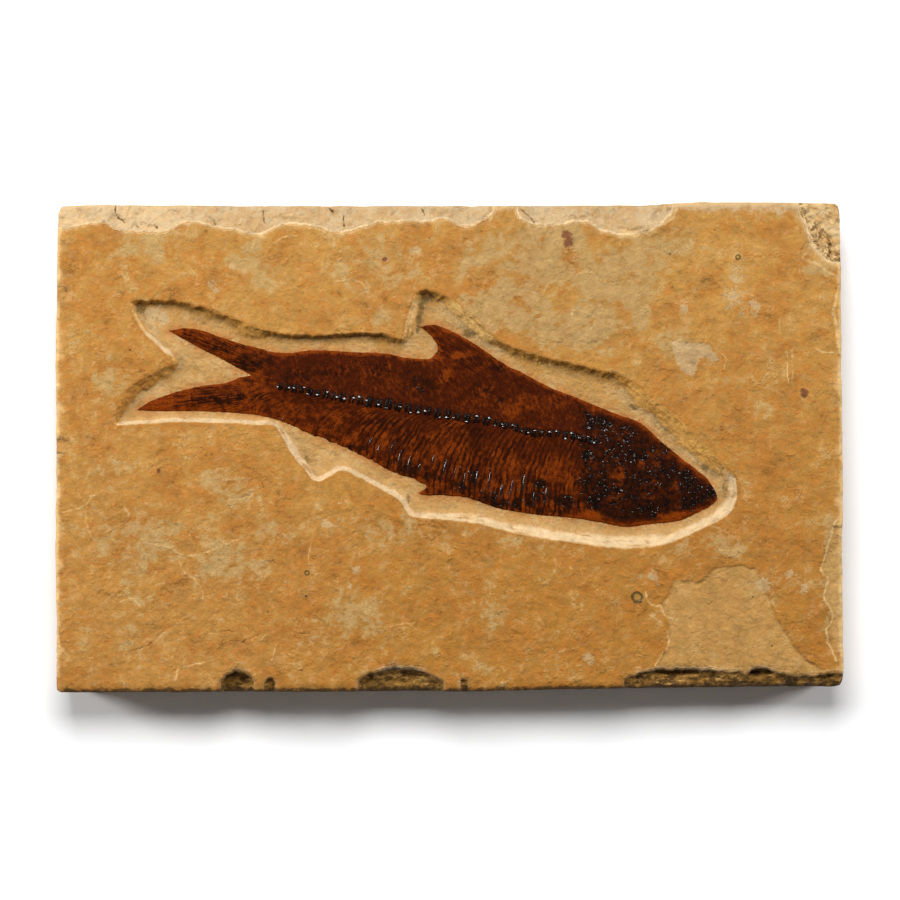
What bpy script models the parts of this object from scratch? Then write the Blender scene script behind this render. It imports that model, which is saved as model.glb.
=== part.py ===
"""A fossil fish, Knightia, in the slab of limestone that it was found in.

The slab lies on its flat back with the fish upwards. X runs along the slab towards the
fish's head, Y across it towards the fish's back, and Z up through the stone. The origin is
the middle of the back face. Outlines are lists of millimetres in that frame.
"""

import math

import bmesh
import bpy
from mathutils import Matrix, Vector, noise

MM = 0.001

# The slab of limestone.
SLAB_THICKNESS = 13.0
SLAB_POINT_SPACING = 3.6
SLAB_CORNERS_AND_SIDES = (
    (-77.6, 46.9), (-76.6, 48.1), (-40.0, 48.2), (10.0, 48.1), (44.0, 48.4), (75.6, 48.6),
    (77.4, 47.2), (78.0, 30.0), (78.2, -10.0), (78.4, -45.4), (76.6, -47.7),
    (36.0, -48.1), (-30.0, -48.5), (-75.8, -48.6), (-77.9, -47.4), (-78.4, -20.0), (-78.2, 20.0),
)
# Height of each ring of the sides, and how far it stands back: beds that broke at
# slightly different places, and a worn arris above and below.
SIDE_RINGS = (
    (0.0, 0.7), (0.7, 0.15), (3.4, 0.0), (5.0, 0.22), (7.2, 0.04), (9.4, 0.2), (12.3, 0.1), (13.0, 0.5),
)
SIDE_ROUGHNESS = 0.32
ROUGHNESS_SCALE = 6.5

# The trench that was cut down to the bed on which the fish lies. Each point of its rim
# has the run of its wall: how far in the wall reaches before it meets the floor.
RECESS_DEPTH = 2.0
RECESS_RIM = (
    (-63.6, 29.2, 2.2), (-58.8, 29.6, 2.3), (-54.2, 28.8, 2.4), (-45.4, 26.6, 2.5), (-41.8, 25.2, 2.3),
    (-37.8, 23.8, 2.2), (-31.8, 23.2, 2.2), (-15.8, 23.4, 2.1), (-11.8, 23.0, 1.9), (-9.2, 22.4, 1.8),
    (-8.6, 25.8, 2.2), (-7.8, 29.4, 2.2), (-6.2, 31.2, 1.8), (-3.4, 31.4, 2.6), (-0.4, 30.0, 2.8),
    (2.6, 28.0, 3.2), (5.4, 25.6, 3.2), (8.2, 23.0, 2.8), (11.4, 21.0, 2.3), (15.8, 19.8, 2.4),
    (25.4, 16.8, 2.6), (30.2, 15.6, 2.7), (34.2, 14.4, 3.0), (37.4, 12.0, 3.0), (41.0, 9.2, 3.4),
    (48.2, 3.4, 3.7), (51.4, 0.0, 3.6), (54.6, -3.2, 3.4), (56.8, -5.6, 2.8), (58.0, -8.6, 2.6),
    (57.4, -11.8, 2.6), (55.0, -14.4, 2.4), (51.0, -16.4, 2.4), (46.2, -18.6, 2.6), (40.6, -20.2, 2.9),
    (34.2, -20.4, 2.6), (28.2, -19.8, 2.4), (22.2, -19.0, 2.1), (10.2, -17.0, 1.9), (4.2, -15.8, 2.0),
    (-1.8, -14.8, 1.8), (-7.4, -14.0, 1.5), (-9.0, -11.6, 1.4), (-10.2, -9.6, 1.4), (-17.4, -5.6, 1.4),
    (-20.6, -4.4, 1.3), (-23.0, -5.6, 1.3), (-25.6, -7.4, 1.3), (-28.0, -4.6, 1.3), (-33.0, 1.8, 1.5),
    (-35.0, 4.0, 1.3), (-39.8, 4.4, 1.5), (-53.8, 5.0, 1.3), (-66.8, 4.6, 1.2), (-66.0, 8.2, 2.2),
    (-63.8, 11.6, 2.4), (-60.2, 14.4, 2.4), (-56.2, 16.6, 2.0), (-58.2, 19.4, 1.8), (-62.4, 25.2, 2.0),
)

# Broken edges. A chip starts along a line on the top face with a small riser, then its
# floor falls away to the slab's side.
NORTH_SCALLOPS_WEST = (
    (-80.0, 43.0), (-75.8, 44.2), (-71.8, 45.0), (-68.6, 45.2), (-65.8, 43.8), (-60.6, 43.2),
    (-57.4, 43.2), (-53.4, 45.0), (-50.2, 45.4), (-47.0, 44.2), (-43.4, 43.8), (-40.2, 42.8),
    (-37.8, 42.6), (-33.4, 44.8), (-30.2, 44.8), (-26.2, 44.0), (-22.6, 43.2), (-19.4, 43.4),
    (-14.2, 45.4), (-5.0, 45.2), (-1.0, 46.0), (2.2, 44.8), (5.0, 44.8), (8.6, 46.8), (10.6, 49.4),
)
NORTH_SCALLOPS_EAST = (
    (12.8, 49.4), (14.6, 46.2), (16.6, 45.0), (19.8, 44.6), (25.0, 45.6), (27.8, 45.2), (30.2, 43.8),
    (33.4, 42.8), (36.6, 42.6), (39.4, 43.2), (41.8, 44.6), (43.8, 46.4), (46.6, 49.6),
)
CORNER_FLAKE = (
    (64.6, 50.0), (67.4, 47.4), (69.0, 45.4), (70.2, 43.4), (71.0, 41.4), (70.6, 39.0),
    (72.6, 38.0), (75.0, 37.0), (77.0, 35.6), (80.0, 33.2),
)
CORNER_BREAK = (
    (68.6, 51.0), (70.0, 47.0), (71.4, 44.2), (72.6, 41.4), (73.8, 39.0), (75.8, 37.6), (80.0, 35.0),
)
SOUTH_NOTCH = (
    (-46.6, -50.0), (-45.8, -47.4), (-44.6, -45.8), (-43.0, -45.0), (-41.0, -45.2), (-39.6, -46.2), (-37.6, -50.0),
)
SOUTH_NICK_WEST = ((-38.2, -50.0), (-37.0, -47.2), (-35.6, -46.4), (-34.6, -47.2), (-34.0, -50.0))
SOUTH_NICK_MIDDLE = ((-27.0, -50.0), (-26.4, -47.8), (-24.6, -47.4), (-22.8, -48.0), (-22.4, -50.0))
SOUTH_SCALLOP = (
    (-20.0, -50.0), (-18.4, -47.0), (-16.6, -45.4), (-13.8, -44.8), (-10.8, -44.2), (-7.4, -44.4),
    (-4.2, -45.2), (-1.8, -46.4), (1.2, -50.0),
)
SOUTH_NICK_EAST = ((1.4, -50.0), (2.2, -47.0), (3.6, -46.8), (4.4, -50.0))
SOUTH_LEDGE = (
    (34.0, -50.0), (35.2, -46.4), (38.2, -45.2), (42.2, -44.6), (58.2, -44.8), (59.4, -45.8), (60.8, -44.4),
    (63.8, -44.4), (66.2, -45.4), (69.4, -46.2), (73.2, -45.8), (76.6, -45.2), (80.4, -44.6),
)
EAST_STRIP = (
    (80.0, -12.4), (77.8, -14.2), (76.6, -17.0), (75.4, -20.2), (74.2, -24.6), (75.6, -26.6), (75.0, -30.0),
    (76.8, -33.6), (75.8, -36.6), (76.0, -39.2), (77.2, -41.6), (80.0, -43.6),
)
EAST_SLIVER = ((80.0, 34.2), (77.4, 30.4), (76.8, 26.4), (77.6, 24.4), (80.0, 23.6))
WEST_NICK = ((-80.0, 4.4), (-77.4, 3.0), (-76.4, 1.4), (-76.6, -0.6), (-77.8, -2.2), (-80.0, -3.4))
WEST_NICK_UPPER = ((-80.0, 33.6), (-77.0, 32.6), (-75.8, 31.4), (-75.8, 30.0), (-77.4, 29.2), (-80.0, 29.0))
# Name, line on the top face, the way out of the stone, riser, and depth 12 mm further out.
EDGE_CHIPS = (
    ("north_scallops_west", NORTH_SCALLOPS_WEST, (0, 1), 0.5, 5.5),
    ("north_scallops_east", NORTH_SCALLOPS_EAST, (0, 1), 0.5, 5.9),
    ("corner_flake", CORNER_FLAKE, (1, 0.7), 0.35, 1.85),
    ("corner_break", CORNER_BREAK, (1, 0.7), 1.1, 5.3),
    ("south_notch", SOUTH_NOTCH, (0, -1), 1.8, 7.4),
    ("south_nick_west", SOUTH_NICK_WEST, (0, -1), 0.9, 5.1),
    ("south_nick_middle", SOUTH_NICK_MIDDLE, (0, -1), 0.6, 5.4),
    ("south_scallop", SOUTH_SCALLOP, (0, -1), 1.5, 6.9),
    ("south_nick_east", SOUTH_NICK_EAST, (0, -1), 0.6, 5.4),
    ("south_ledge", SOUTH_LEDGE, (0, -1), 1.3, 4.5),
    ("east_strip", EAST_STRIP, (1, 0), 0.35, 1.25),
    ("east_sliver", EAST_SLIVER, (1, 0), 0.4, 5.6),
    ("west_nick", WEST_NICK, (-1, 0), 0.5, 6.7),
    ("west_nick_upper", WEST_NICK_UPPER, (-1, 0), 0.3, 3.7),
)
CHIP_REACH = 12.0

# A thin leaf of stone that came off the face beside the head, down to the south ledge.
LEAF_DEPTH = 0.25
LEAF_SCAR = (
    (40.6, -51.0), (41.0, -44.8), (43.6, -39.8), (43.8, -35.2), (42.2, -31.8), (44.4, -28.8), (45.0, -26.6),
    (50.2, -27.0), (53.2, -24.2), (59.2, -23.8), (61.6, -24.6), (62.6, -27.4), (64.2, -31.2), (66.2, -35.6),
    (68.6, -39.8), (71.4, -42.8), (75.2, -44.4), (76.6, -51.0),
)

# The fish. Its bed is the floor of the trench, and a film of air parts the two solids.
BED_GAP = 0.3
FIN_THICKNESS = 0.35
BODY_EDGE_THICKNESS = 0.35
BODY_CROWN = 0.55
BACK_LINE = (
    (-39.6, 19.8), (-37.4, 19.4), (-32.8, 18.8), (-26.8, 19.4), (-18.8, 19.0), (-12.8, 18.8), (-8.8, 17.9),
    (-3.8, 17.6), (4.2, 17.6), (12.6, 15.8), (19.2, 12.4), (27.2, 9.2), (34.6, 6.2), (38.2, 5.0),
    (42.2, 1.4), (46.2, -2.0), (50.2, -5.0), (52.6, -7.2), (53.8, -9.6),
)
BELLY_LINE = (
    (-39.6, 6.6), (-33.8, 5.4), (-28.6, 3.0), (-24.2, 1.4), (-18.2, -1.2), (-14.2, -3.4), (-10.2, -5.4),
    (-5.8, -6.7), (-2.8, -8.6), (1.2, -9.8), (4.2, -10.2), (8.2, -11.8), (12.6, -12.8), (18.2, -13.6),
    (24.2, -14.1), (30.2, -15.0), (35.2, -16.0), (41.2, -15.3), (46.2, -14.8), (50.2, -12.9),
    (52.8, -11.8), (53.8, -10.6),
)
CREST_LINE = (
    (-39.6, 13.0), (-33.8, 12.2), (-28.2, 11.2), (-20.8, 9.8), (-12.8, 8.6), (-4.4, 7.2), (3.6, 5.8),
    (10.6, 4.6), (15.8, 3.0), (20.6, 2.6), (27.2, 1.8), (31.0, 0.4), (36.0, -1.8), (44.0, -5.6),
    (50.0, -8.6), (53.8, -10.1),
)
TAIL_ROOT_X, NOSE_X = -39.6, 53.8
TAIL_TAPER = 12.0
BODY_STATIONS = 48
BODY_SECTION = (0.0, 0.35, 0.65, 0.85, 1.0)

TAIL_UPPER_LOBE = (
    (-56.0, 23.2), (-53.4, 23.8), (-49.8, 23.4), (-45.8, 22.0), (-40.8, 20.4), (-36.0, 19.0), (-33.0, 15.0),
    (-36.4, 13.4), (-39.8, 14.6), (-42.2, 15.8), (-46.2, 18.0), (-50.2, 20.0), (-53.8, 22.0),
)
TAIL_LOWER_LOBE = (
    (-62.4, 7.4), (-60.2, 9.0), (-55.4, 10.8), (-49.8, 12.2), (-44.8, 12.8), (-40.8, 14.2), (-36.4, 14.0),
    (-33.0, 11.0), (-33.6, 5.6), (-36.8, 6.2), (-41.8, 6.8), (-49.8, 7.2), (-57.8, 7.2),
)
DORSAL_FIN = (
    (-5.6, 24.0), (-3.4, 24.6), (0.6, 23.2), (5.2, 20.6), (9.2, 17.8), (12.0, 15.4), (4.0, 13.8),
    (-2.6, 15.0), (-3.8, 17.4), (-2.2, 19.2), (-2.6, 21.0), (-4.2, 23.0),
)
PELVIC_FIN = ((-6.4, -9.2), (-4.4, -8.2), (-3.2, -6.8), (3.0, -7.6), (3.2, -9.8), (-1.8, -9.6), (-4.8, -9.7))
# Fin, root and tip of its first ray, root and tip of its last ray, and number of rays.
FIN_RAYS = (
    ("tail_upper_ray", (-35.0, 17.8), (-54.4, 23.0), (-36.4, 14.8), (-44.6, 17.4), 6),
    ("tail_lower_ray", (-35.6, 12.6), (-44.6, 12.2), (-35.4, 7.4), (-60.0, 7.9), 7),
    ("dorsal_ray", (-1.6, 17.6), (-4.4, 23.7), (9.4, 16.6), (7.4, 18.6), 6),
)
RAY_RADIUS = 0.22

VERTEBRA_COUNT = 34
VERTEBRA_FIRST_X, VERTEBRA_LAST_X = -33.8, 27.2
VERTEBRA_TAIL_PITCH, VERTEBRA_TRUNK_PITCH = 1.45, 1.95
VERTEBRA_RIM_RADIUS, VERTEBRA_WAIST_RADIUS = 0.62, 0.42
VERTEBRA_FILL = 0.86

FIRST_RIB_VERTEBRA = 15
RIB_REACH = 0.9
RIB_SWEEP_TAIL, RIB_SWEEP_TRUNK = 10.0, 3.8
RIB_ROOT_RADIUS, RIB_TIP_RADIUS = 0.26, 0.16
RIB_SEGMENTS = 5

EYE_CENTRE, EYE_SOCKET_RADIUS = (40.0, -4.8), 3.5
SHOULDER_EDGE = ((23.4, 1.4), (24.2, -1.6), (23.6, -5.6), (24.4, -9.6), (26.6, -12.4))
GILL_COVER_EDGE = ((28.6, 1.0), (27.2, -3.0), (27.4, -8.0), (29.6, -12.8))
CHEEK_EDGE = ((32.6, 0.6), (32.0, -5.0), (32.8, -10.0), (34.6, -14.2))
JAW_LINE = ((34.4, -10.6), (41.0, -11.4), (47.6, -11.2), (52.6, -9.6))
SKULL_RIDGE_RADIUS = 0.32


def smooth_line(points, spacing):
    """Points about this far apart on a Catmull-Rom curve through the given ones."""
    line = [Vector(point) for point in points]
    padded = [2 * line[0] - line[1], *line, 2 * line[-1] - line[-2]]
    curve = []
    for a, b, c, d in zip(padded, padded[1:], padded[2:], padded[3:]):
        steps = max(1, round((c - b).length / spacing))
        for step in range(steps):
            t = step / steps
            curve.append(
                0.5 * (2 * b + (c - a) * t + (2 * a - 5 * b + 4 * c - d) * t**2 + (3 * b - a - 3 * c + d) * t**3)
            )
    return [*curve, line[-1]]


def resampled_ring(points, spacing):
    """A closed outline with points at even steps along its straight sides."""
    ring = []
    for start, end in zip(points, [*points[1:], points[0]]):
        start, end = Vector(start), Vector(end)
        steps = max(1, round((end - start).length / spacing))
        ring.extend(start.lerp(end, step / steps) for step in range(steps))
    return ring


def inward_directions(ring):
    """For each corner of a clockwise outline, the way in, long enough that a step moves both sides by that step."""
    directions = []
    for before, here, after in zip([ring[-1], *ring[:-1]], ring, [*ring[1:], ring[0]]):
        first, second = (here - before).normalized(), (after - here).normalized()
        normal_1, normal_2 = Vector((first.y, -first.x)), Vector((second.y, -second.x))
        middle = (normal_1 + normal_2).normalized()
        directions.append(middle / max(0.45, middle.dot(normal_1)))
    return directions


def y_at(line, x):
    """Where a smooth line that runs along X crosses this X."""
    for a, b in zip(line, line[1:]):
        if a.x <= x <= b.x:
            return a.y + (b.y - a.y) * (x - a.x) / max(b.x - a.x, 1e-6)
    return line[-1].y if x > line[-1].x else line[0].y


def loft(rings):
    """A closed solid through rings of equally many points, in millimetres, with flat ends."""
    mesh = bmesh.new()
    loops = [[mesh.verts.new(Vector(point) * MM) for point in ring] for ring in rings]
    mesh.faces.new(reversed(loops[0]))
    mesh.faces.new(loops[-1])
    for lower, upper in zip(loops, loops[1:]):
        for i in range(len(lower)):
            j = (i + 1) % len(lower)
            mesh.faces.new((lower[i], lower[j], upper[j], upper[i]))
    bmesh.ops.recalc_face_normals(mesh, faces=mesh.faces)
    return mesh


def level_ring(ring, height):
    return [(point[0], point[1], height) for point in ring]


def rod(points, radii, sides=5):
    """A tapering rod along points at one height, such as a rib or a fin ray."""
    points = [Vector(point) for point in points]
    rings = []
    for i, (point, radius) in enumerate(zip(points, radii)):
        along = (points[min(i + 1, len(points) - 1)] - points[max(i - 1, 0)]).normalized()
        across = along.cross(Vector((0, 0, 1))).normalized()
        up = across.cross(along)
        turns = [2 * math.pi * k / sides for k in range(sides)]
        rings.append([point + across * radius * math.cos(a) + up * radius * math.sin(a) for a in turns])
    return loft(rings)


def material(name, color, roughness):
    finish = bpy.data.materials.new(name)
    finish.use_nodes = True
    shader = finish.node_tree.nodes["Principled BSDF"]
    shader.inputs["Base Color"].default_value = (*color, 1)
    shader.inputs["Roughness"].default_value = roughness
    shader.inputs["Metallic"].default_value = 0
    return finish


def add_object(name, mesh, collection, finish=None):
    data = bpy.data.meshes.new(name)
    mesh.to_mesh(data)
    mesh.free()
    if finish:
        data.materials.append(finish)
    made = bpy.data.objects.new(name, data)
    collection.objects.link(made)
    return made


def helper_collection(name):
    collection = bpy.data.collections.new(name)
    bpy.context.scene.collection.children.link(collection)
    return collection


def add_helper(name, mesh, collection):
    """A cutter or a detail that a Boolean takes in, so that it isn't a node of its own."""
    made = add_object(name, mesh, collection)
    made.hide_render = True
    made.display_type = "WIRE"
    return made


def boolean(target, operation, collection):
    modifier = target.modifiers.new(operation.title(), "BOOLEAN")
    modifier.operation = operation
    modifier.operand_type = "COLLECTION"
    modifier.collection = collection
    modifier.solver = "EXACT"


def slab_block():
    """The whole slab before anything was cut or broken from it."""
    ring = resampled_ring(SLAB_CORNERS_AND_SIDES, SLAB_POINT_SPACING)
    inward = inward_directions(ring)
    rings = []
    for height, set_back in SIDE_RINGS:
        level = []
        for point, way_in in zip(ring, inward):
            place = Vector((point.x, point.y, height * 2)) / ROUGHNESS_SCALE
            rough = SIDE_ROUGHNESS * (0.5 + 0.5 * noise.noise(place))
            moved = point + way_in.normalized() * (set_back + rough)
            level.append((moved.x, moved.y, height))
        rings.append(level)
    return loft(rings)


def recess_cutter():
    """The trench round the fish: a floor, leaning walls, and an open top."""
    rim = [Vector((x, y)) for x, y, _ in RECESS_RIM]
    foot = [point + way * run for point, way, (_, _, run) in zip(rim, inward_directions(rim), RECESS_RIM)]
    return loft([
        level_ring(foot, SLAB_THICKNESS - RECESS_DEPTH),
        level_ring(rim, SLAB_THICKNESS + 0.05),
        level_ring(rim, SLAB_THICKNESS + 1.0),
    ])


def edge_chip_cutter(line, way_out, riser, fall):
    """What broke off an edge: a strip with a sloping floor, from its line on the face to past the side."""
    way_out = Vector(way_out).normalized() * CHIP_REACH
    sections = []
    for point in (Vector(point) for point in line):
        far = point + way_out
        sections.append([
            (point.x, point.y, SLAB_THICKNESS + 1.0),
            (point.x, point.y, SLAB_THICKNESS - riser),
            (far.x, far.y, SLAB_THICKNESS - fall),
            (far.x, far.y, SLAB_THICKNESS + 1.0),
        ])
    return loft(sections)


def make_slab(scene_collection):
    limestone = material("limestone", (0.55, 0.29, 0.09), 0.8)
    slab = add_object("limestone_slab", slab_block(), scene_collection, limestone)
    cutters = helper_collection("slab_cutters")
    add_helper("recess", recess_cutter(), cutters)
    for name, line, way_out, riser, fall in EDGE_CHIPS:
        add_helper(name, edge_chip_cutter(line, way_out, riser, fall), cutters)
    leaf_levels = (SLAB_THICKNESS - LEAF_DEPTH, SLAB_THICKNESS + 1.0)
    add_helper("leaf_scar", loft([level_ring(LEAF_SCAR, level) for level in leaf_levels]), cutters)
    boolean(slab, "DIFFERENCE", cutters)


def bed_height():
    return SLAB_THICKNESS - RECESS_DEPTH + BED_GAP


def crest_height():
    return bed_height() + BODY_EDGE_THICKNESS + BODY_CROWN


def body_solid():
    """The pressed body, a low mound whose crest follows the backbone and then the skull."""
    back, belly, crest = (smooth_line(line, 1.0) for line in (BACK_LINE, BELLY_LINE, CREST_LINE))
    base, edge = bed_height(), bed_height() + BODY_EDGE_THICKNESS
    sections = []
    for station in range(BODY_STATIONS + 1):
        x = TAIL_ROOT_X + (NOSE_X - TAIL_ROOT_X) * station / BODY_STATIONS
        y_back, y_belly, y_crest = (y_at(line, x) for line in (back, belly, crest))
        taper = min(1.0, 0.1 + (x - TAIL_ROOT_X) / TAIL_TAPER, (y_back - y_belly) / 12.0)
        crown = BODY_CROWN * taper
        section = [(x, y_belly, base)]
        for side, y_side in ((1, y_belly), (-1, y_back)):
            for out in BODY_SECTION[::-1][:: side] if side == 1 else BODY_SECTION[1:]:
                height = edge + crown * math.sqrt(1.0 - out * out)
                section.append((x, y_crest + (y_side - y_crest) * out, height))
        section.append((x, y_back, base))
        sections.append(section)
    return loft(sections)


def backbone_points():
    """Place and direction of each vertebra, from the tail to the head."""
    crest = smooth_line(CREST_LINE, 0.5)
    pitches = [
        VERTEBRA_TAIL_PITCH + (VERTEBRA_TRUNK_PITCH - VERTEBRA_TAIL_PITCH) * min(1.0, i / 12)
        for i in range(VERTEBRA_COUNT - 1)
    ]
    stretch = (VERTEBRA_LAST_X - VERTEBRA_FIRST_X) / sum(pitches)
    x = VERTEBRA_FIRST_X
    found = []
    for pitch in [*pitches, pitches[-1]]:
        pitch *= stretch
        here = Vector((x, y_at(crest, x)))
        ahead = Vector((x + pitch, y_at(crest, x + pitch)))
        found.append((here, ahead - here))
        x += pitch
    return found


def vertebra(place, along):
    """One hourglass vertebra, lying along the backbone."""
    half = along.length * VERTEBRA_FILL / 2
    direction = along.normalized()
    profile = ((-half, VERTEBRA_RIM_RADIUS), (0, VERTEBRA_WAIST_RADIUS), (half, VERTEBRA_RIM_RADIUS))
    centre = Vector((place.x, place.y, crest_height()))
    way = Vector((direction.x, direction.y, 0))
    return rod([centre + way * offset for offset, _ in profile], [radius for _, radius in profile], sides=8)


def rib(place, share, belly):
    """One rib, swept back from its vertebra and down to the belly. The share is 0 at the first rib and 1 at the last."""
    sweep = RIB_SWEEP_TAIL + (RIB_SWEEP_TRUNK - RIB_SWEEP_TAIL) * share
    tip_x = place.x - sweep
    tip_y = place.y + (y_at(belly, tip_x) - place.y) * RIB_REACH
    points, radii = [], []
    for step in range(RIB_SEGMENTS + 1):
        t = step / RIB_SEGMENTS
        x = place.x - sweep * math.sin(t * math.pi / 2)
        y = place.y + (tip_y - place.y) * (1.0 - math.cos(t * math.pi / 2)) ** 0.8
        drop = BODY_CROWN * (1.0 - math.sqrt(max(0.0, 1.0 - (t * RIB_REACH) ** 2)))
        points.append((x, y, crest_height() - drop + 0.02))
        radii.append(RIB_ROOT_RADIUS + (RIB_TIP_RADIUS - RIB_ROOT_RADIUS) * t)
    return rod(points, radii, sides=4)


def add_fins(details):
    """The fins: thin plates, with their rays standing a little proud."""
    base = bed_height()
    for name, outline in (
        ("tail_upper_lobe", TAIL_UPPER_LOBE),
        ("tail_lower_lobe", TAIL_LOWER_LOBE),
        ("dorsal_fin", DORSAL_FIN),
        ("pelvic_fin", PELVIC_FIN),
    ):
        ring = smooth_line([*outline, outline[0]], 1.2)[:-1]
        plate = loft([level_ring(ring, base), level_ring(ring, base + FIN_THICKNESS)])
        add_helper(name, plate, details)
    ray_height = base + FIN_THICKNESS - RAY_RADIUS * 0.3
    for name, root_1, tip_1, root_2, tip_2, count in FIN_RAYS:
        for i in range(count):
            share = i / (count - 1)
            root = Vector(root_1).lerp(Vector(root_2), share)
            tip = Vector(tip_1).lerp(Vector(tip_2), share)
            ends = [(*root, ray_height), (*tip, ray_height)]
            add_helper(f"{name}_{i + 1}", rod(ends, [RAY_RADIUS, RAY_RADIUS * 0.5], sides=4), details)


def add_backbone_and_ribs(details):
    belly = smooth_line(BELLY_LINE, 1.0)
    bones = backbone_points()
    last = len(bones) - 1
    for i, (place, along) in enumerate(bones):
        add_helper(f"vertebra_{i + 1}", vertebra(place, along), details)
        if FIRST_RIB_VERTEBRA <= i < last:
            share = (i - FIRST_RIB_VERTEBRA) / (last - FIRST_RIB_VERTEBRA)
            add_helper(f"rib_{i + 1}", rib(place, share, belly), details)


def add_skull(details):
    """The raised lines of the head: the eye socket, the gill cover, the cheek and the jaw."""
    height = bed_height() + BODY_EDGE_THICKNESS + BODY_CROWN * 0.62
    radius = SKULL_RIDGE_RADIUS
    for name, line in (
        ("shoulder_edge", SHOULDER_EDGE),
        ("gill_cover_edge", GILL_COVER_EDGE),
        ("cheek_edge", CHEEK_EDGE),
        ("jaw_line", JAW_LINE),
    ):
        points = [(point.x, point.y, height) for point in smooth_line(line, 1.6)]
        radii = [radius * (0.6 if i in (0, len(points) - 1) else 1.0) for i in range(len(points))]
        add_helper(name, rod(points, radii), details)
    socket = bmesh.new()
    section = bmesh.ops.create_circle(socket, segments=6, radius=radius * 1.1 * MM)["verts"]
    stand_up = Matrix.Translation((EYE_SOCKET_RADIUS * MM, 0, 0)) @ Matrix.Rotation(math.pi / 2, 4, "X")
    bmesh.ops.transform(socket, matrix=stand_up, verts=section)
    bmesh.ops.spin(
        socket, geom=socket.edges[:], cent=(0, 0, 0), axis=(0, 0, 1), angle=2 * math.pi, steps=20, use_merge=True
    )
    centre = Vector((*EYE_CENTRE, height + 0.1)) * MM
    bmesh.ops.translate(socket, vec=centre, verts=socket.verts)
    bmesh.ops.recalc_face_normals(socket, faces=socket.faces)
    add_helper("eye_socket", socket, details)


def make_fish(scene_collection):
    bone = material("fossil_bone", (0.10, 0.022, 0.005), 0.35)
    fish = add_object("fossil_fish", body_solid(), scene_collection, bone)
    details = helper_collection("fish_details")
    add_fins(details)
    add_backbone_and_ribs(details)
    add_skull(details)
    boolean(fish, "UNION", details)


def main():
    for old in list(bpy.data.objects):
        bpy.data.objects.remove(old)
    scene_collection = bpy.context.scene.collection
    make_slab(scene_collection)
    make_fish(scene_collection)


if __name__ == "__main__":
    main()
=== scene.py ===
"""The looks of a fossil fish in its slab of limestone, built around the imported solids.

Laid out as a Blender add-on: each operator builds one piece, and main() runs them all.
Lists of points are millimetres in the frame of the solids: X towards the fish's head,
Y towards its back, Z up from the slab's back face.
"""

import math
import random

import bmesh
import bpy
from mathutils import Matrix, Vector, noise
from mathutils.bvhtree import BVHTree
from mathutils.geometry import intersect_line_line_2d
from mathutils.kdtree import KDTree


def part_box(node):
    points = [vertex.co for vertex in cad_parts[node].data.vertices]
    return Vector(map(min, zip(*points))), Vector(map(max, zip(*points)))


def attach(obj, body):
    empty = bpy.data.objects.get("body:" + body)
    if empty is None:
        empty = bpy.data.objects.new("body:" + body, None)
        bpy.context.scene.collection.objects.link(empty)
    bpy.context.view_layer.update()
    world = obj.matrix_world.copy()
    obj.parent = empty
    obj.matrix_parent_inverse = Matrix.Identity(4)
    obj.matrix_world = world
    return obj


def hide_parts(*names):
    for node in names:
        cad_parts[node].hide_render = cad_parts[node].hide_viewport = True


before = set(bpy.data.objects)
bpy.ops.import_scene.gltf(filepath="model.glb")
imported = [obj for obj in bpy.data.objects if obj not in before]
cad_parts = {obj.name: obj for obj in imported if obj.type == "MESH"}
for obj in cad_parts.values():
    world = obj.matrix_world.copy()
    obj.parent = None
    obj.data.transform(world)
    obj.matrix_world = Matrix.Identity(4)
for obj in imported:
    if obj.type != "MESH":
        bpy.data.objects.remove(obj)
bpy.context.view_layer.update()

bl_info = {
    "name": "Fossil Fish in Limestone",
    "version": (1, 0, 0),
    "blender": (4, 5, 0),
    "location": "3D View > Sidebar > Fossil",
    "description": "Builds the finished slab, fish and studio around the packed solids",
    "category": "Object",
}

MM = 0.001
MERGE_DISTANCE = 1e-7
LIGHT_LEVEL = 1.5

SLAB_LOW, SLAB_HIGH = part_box("limestone_slab")
FISH_LOW, FISH_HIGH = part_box("fossil_fish")
SLAB_TOP = SLAB_HIGH.z / MM
# The fish's solid stands this far clear of the trench's floor, and the dressed fish starts at that floor.
FISH_CLEARANCE = 0.3
FISH_BED = FISH_LOW.z / MM - FISH_CLEARANCE

# The face is level up to here, and no chip reaches down to this height.
ARRIS_X, ARRIS_Y, DEEPEST_CHIP = 76.8, 47.2, 8.6
# Nearer than this to the trench's rim the face is level.
RIM_MARGIN = 2.5
# The trimmed sides are looked up below the worn arris, and nothing rises higher than this above the face.
ARRIS_DEPTH, HIGHEST_LIP = 3.2, 0.25

# The slab's upper edge, seen from above, clockwise from its far tail corner.
TOP_OUTLINE = (
    (-78.3, 47.1), (-77.6, 48.3), (-70.0, 48.5), (-30.0, 48.3), (18.0, 48.3), (40.0, 48.5), (50.0, 49.0),
    (77.4, 48.9), (78.1, 48.3), (78.4, 47.2), (78.4, 30.0), (78.5, 12.0), (78.8, -6.0), (78.7, -20.0),
    (78.9, -46.4), (78.5, -47.6), (77.2, -48.0), (66.0, -48.0), (50.0, -48.2), (20.0, -48.5),
    (7.0, -48.9), (-38.0, -49.0), (-77.9, -49.1), (-78.5, -48.5), (-78.5, -34.0), (-78.8, -20.0),
    (-78.5, -8.0), (-78.7, 18.0), (-78.4, 33.0),
)

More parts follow.
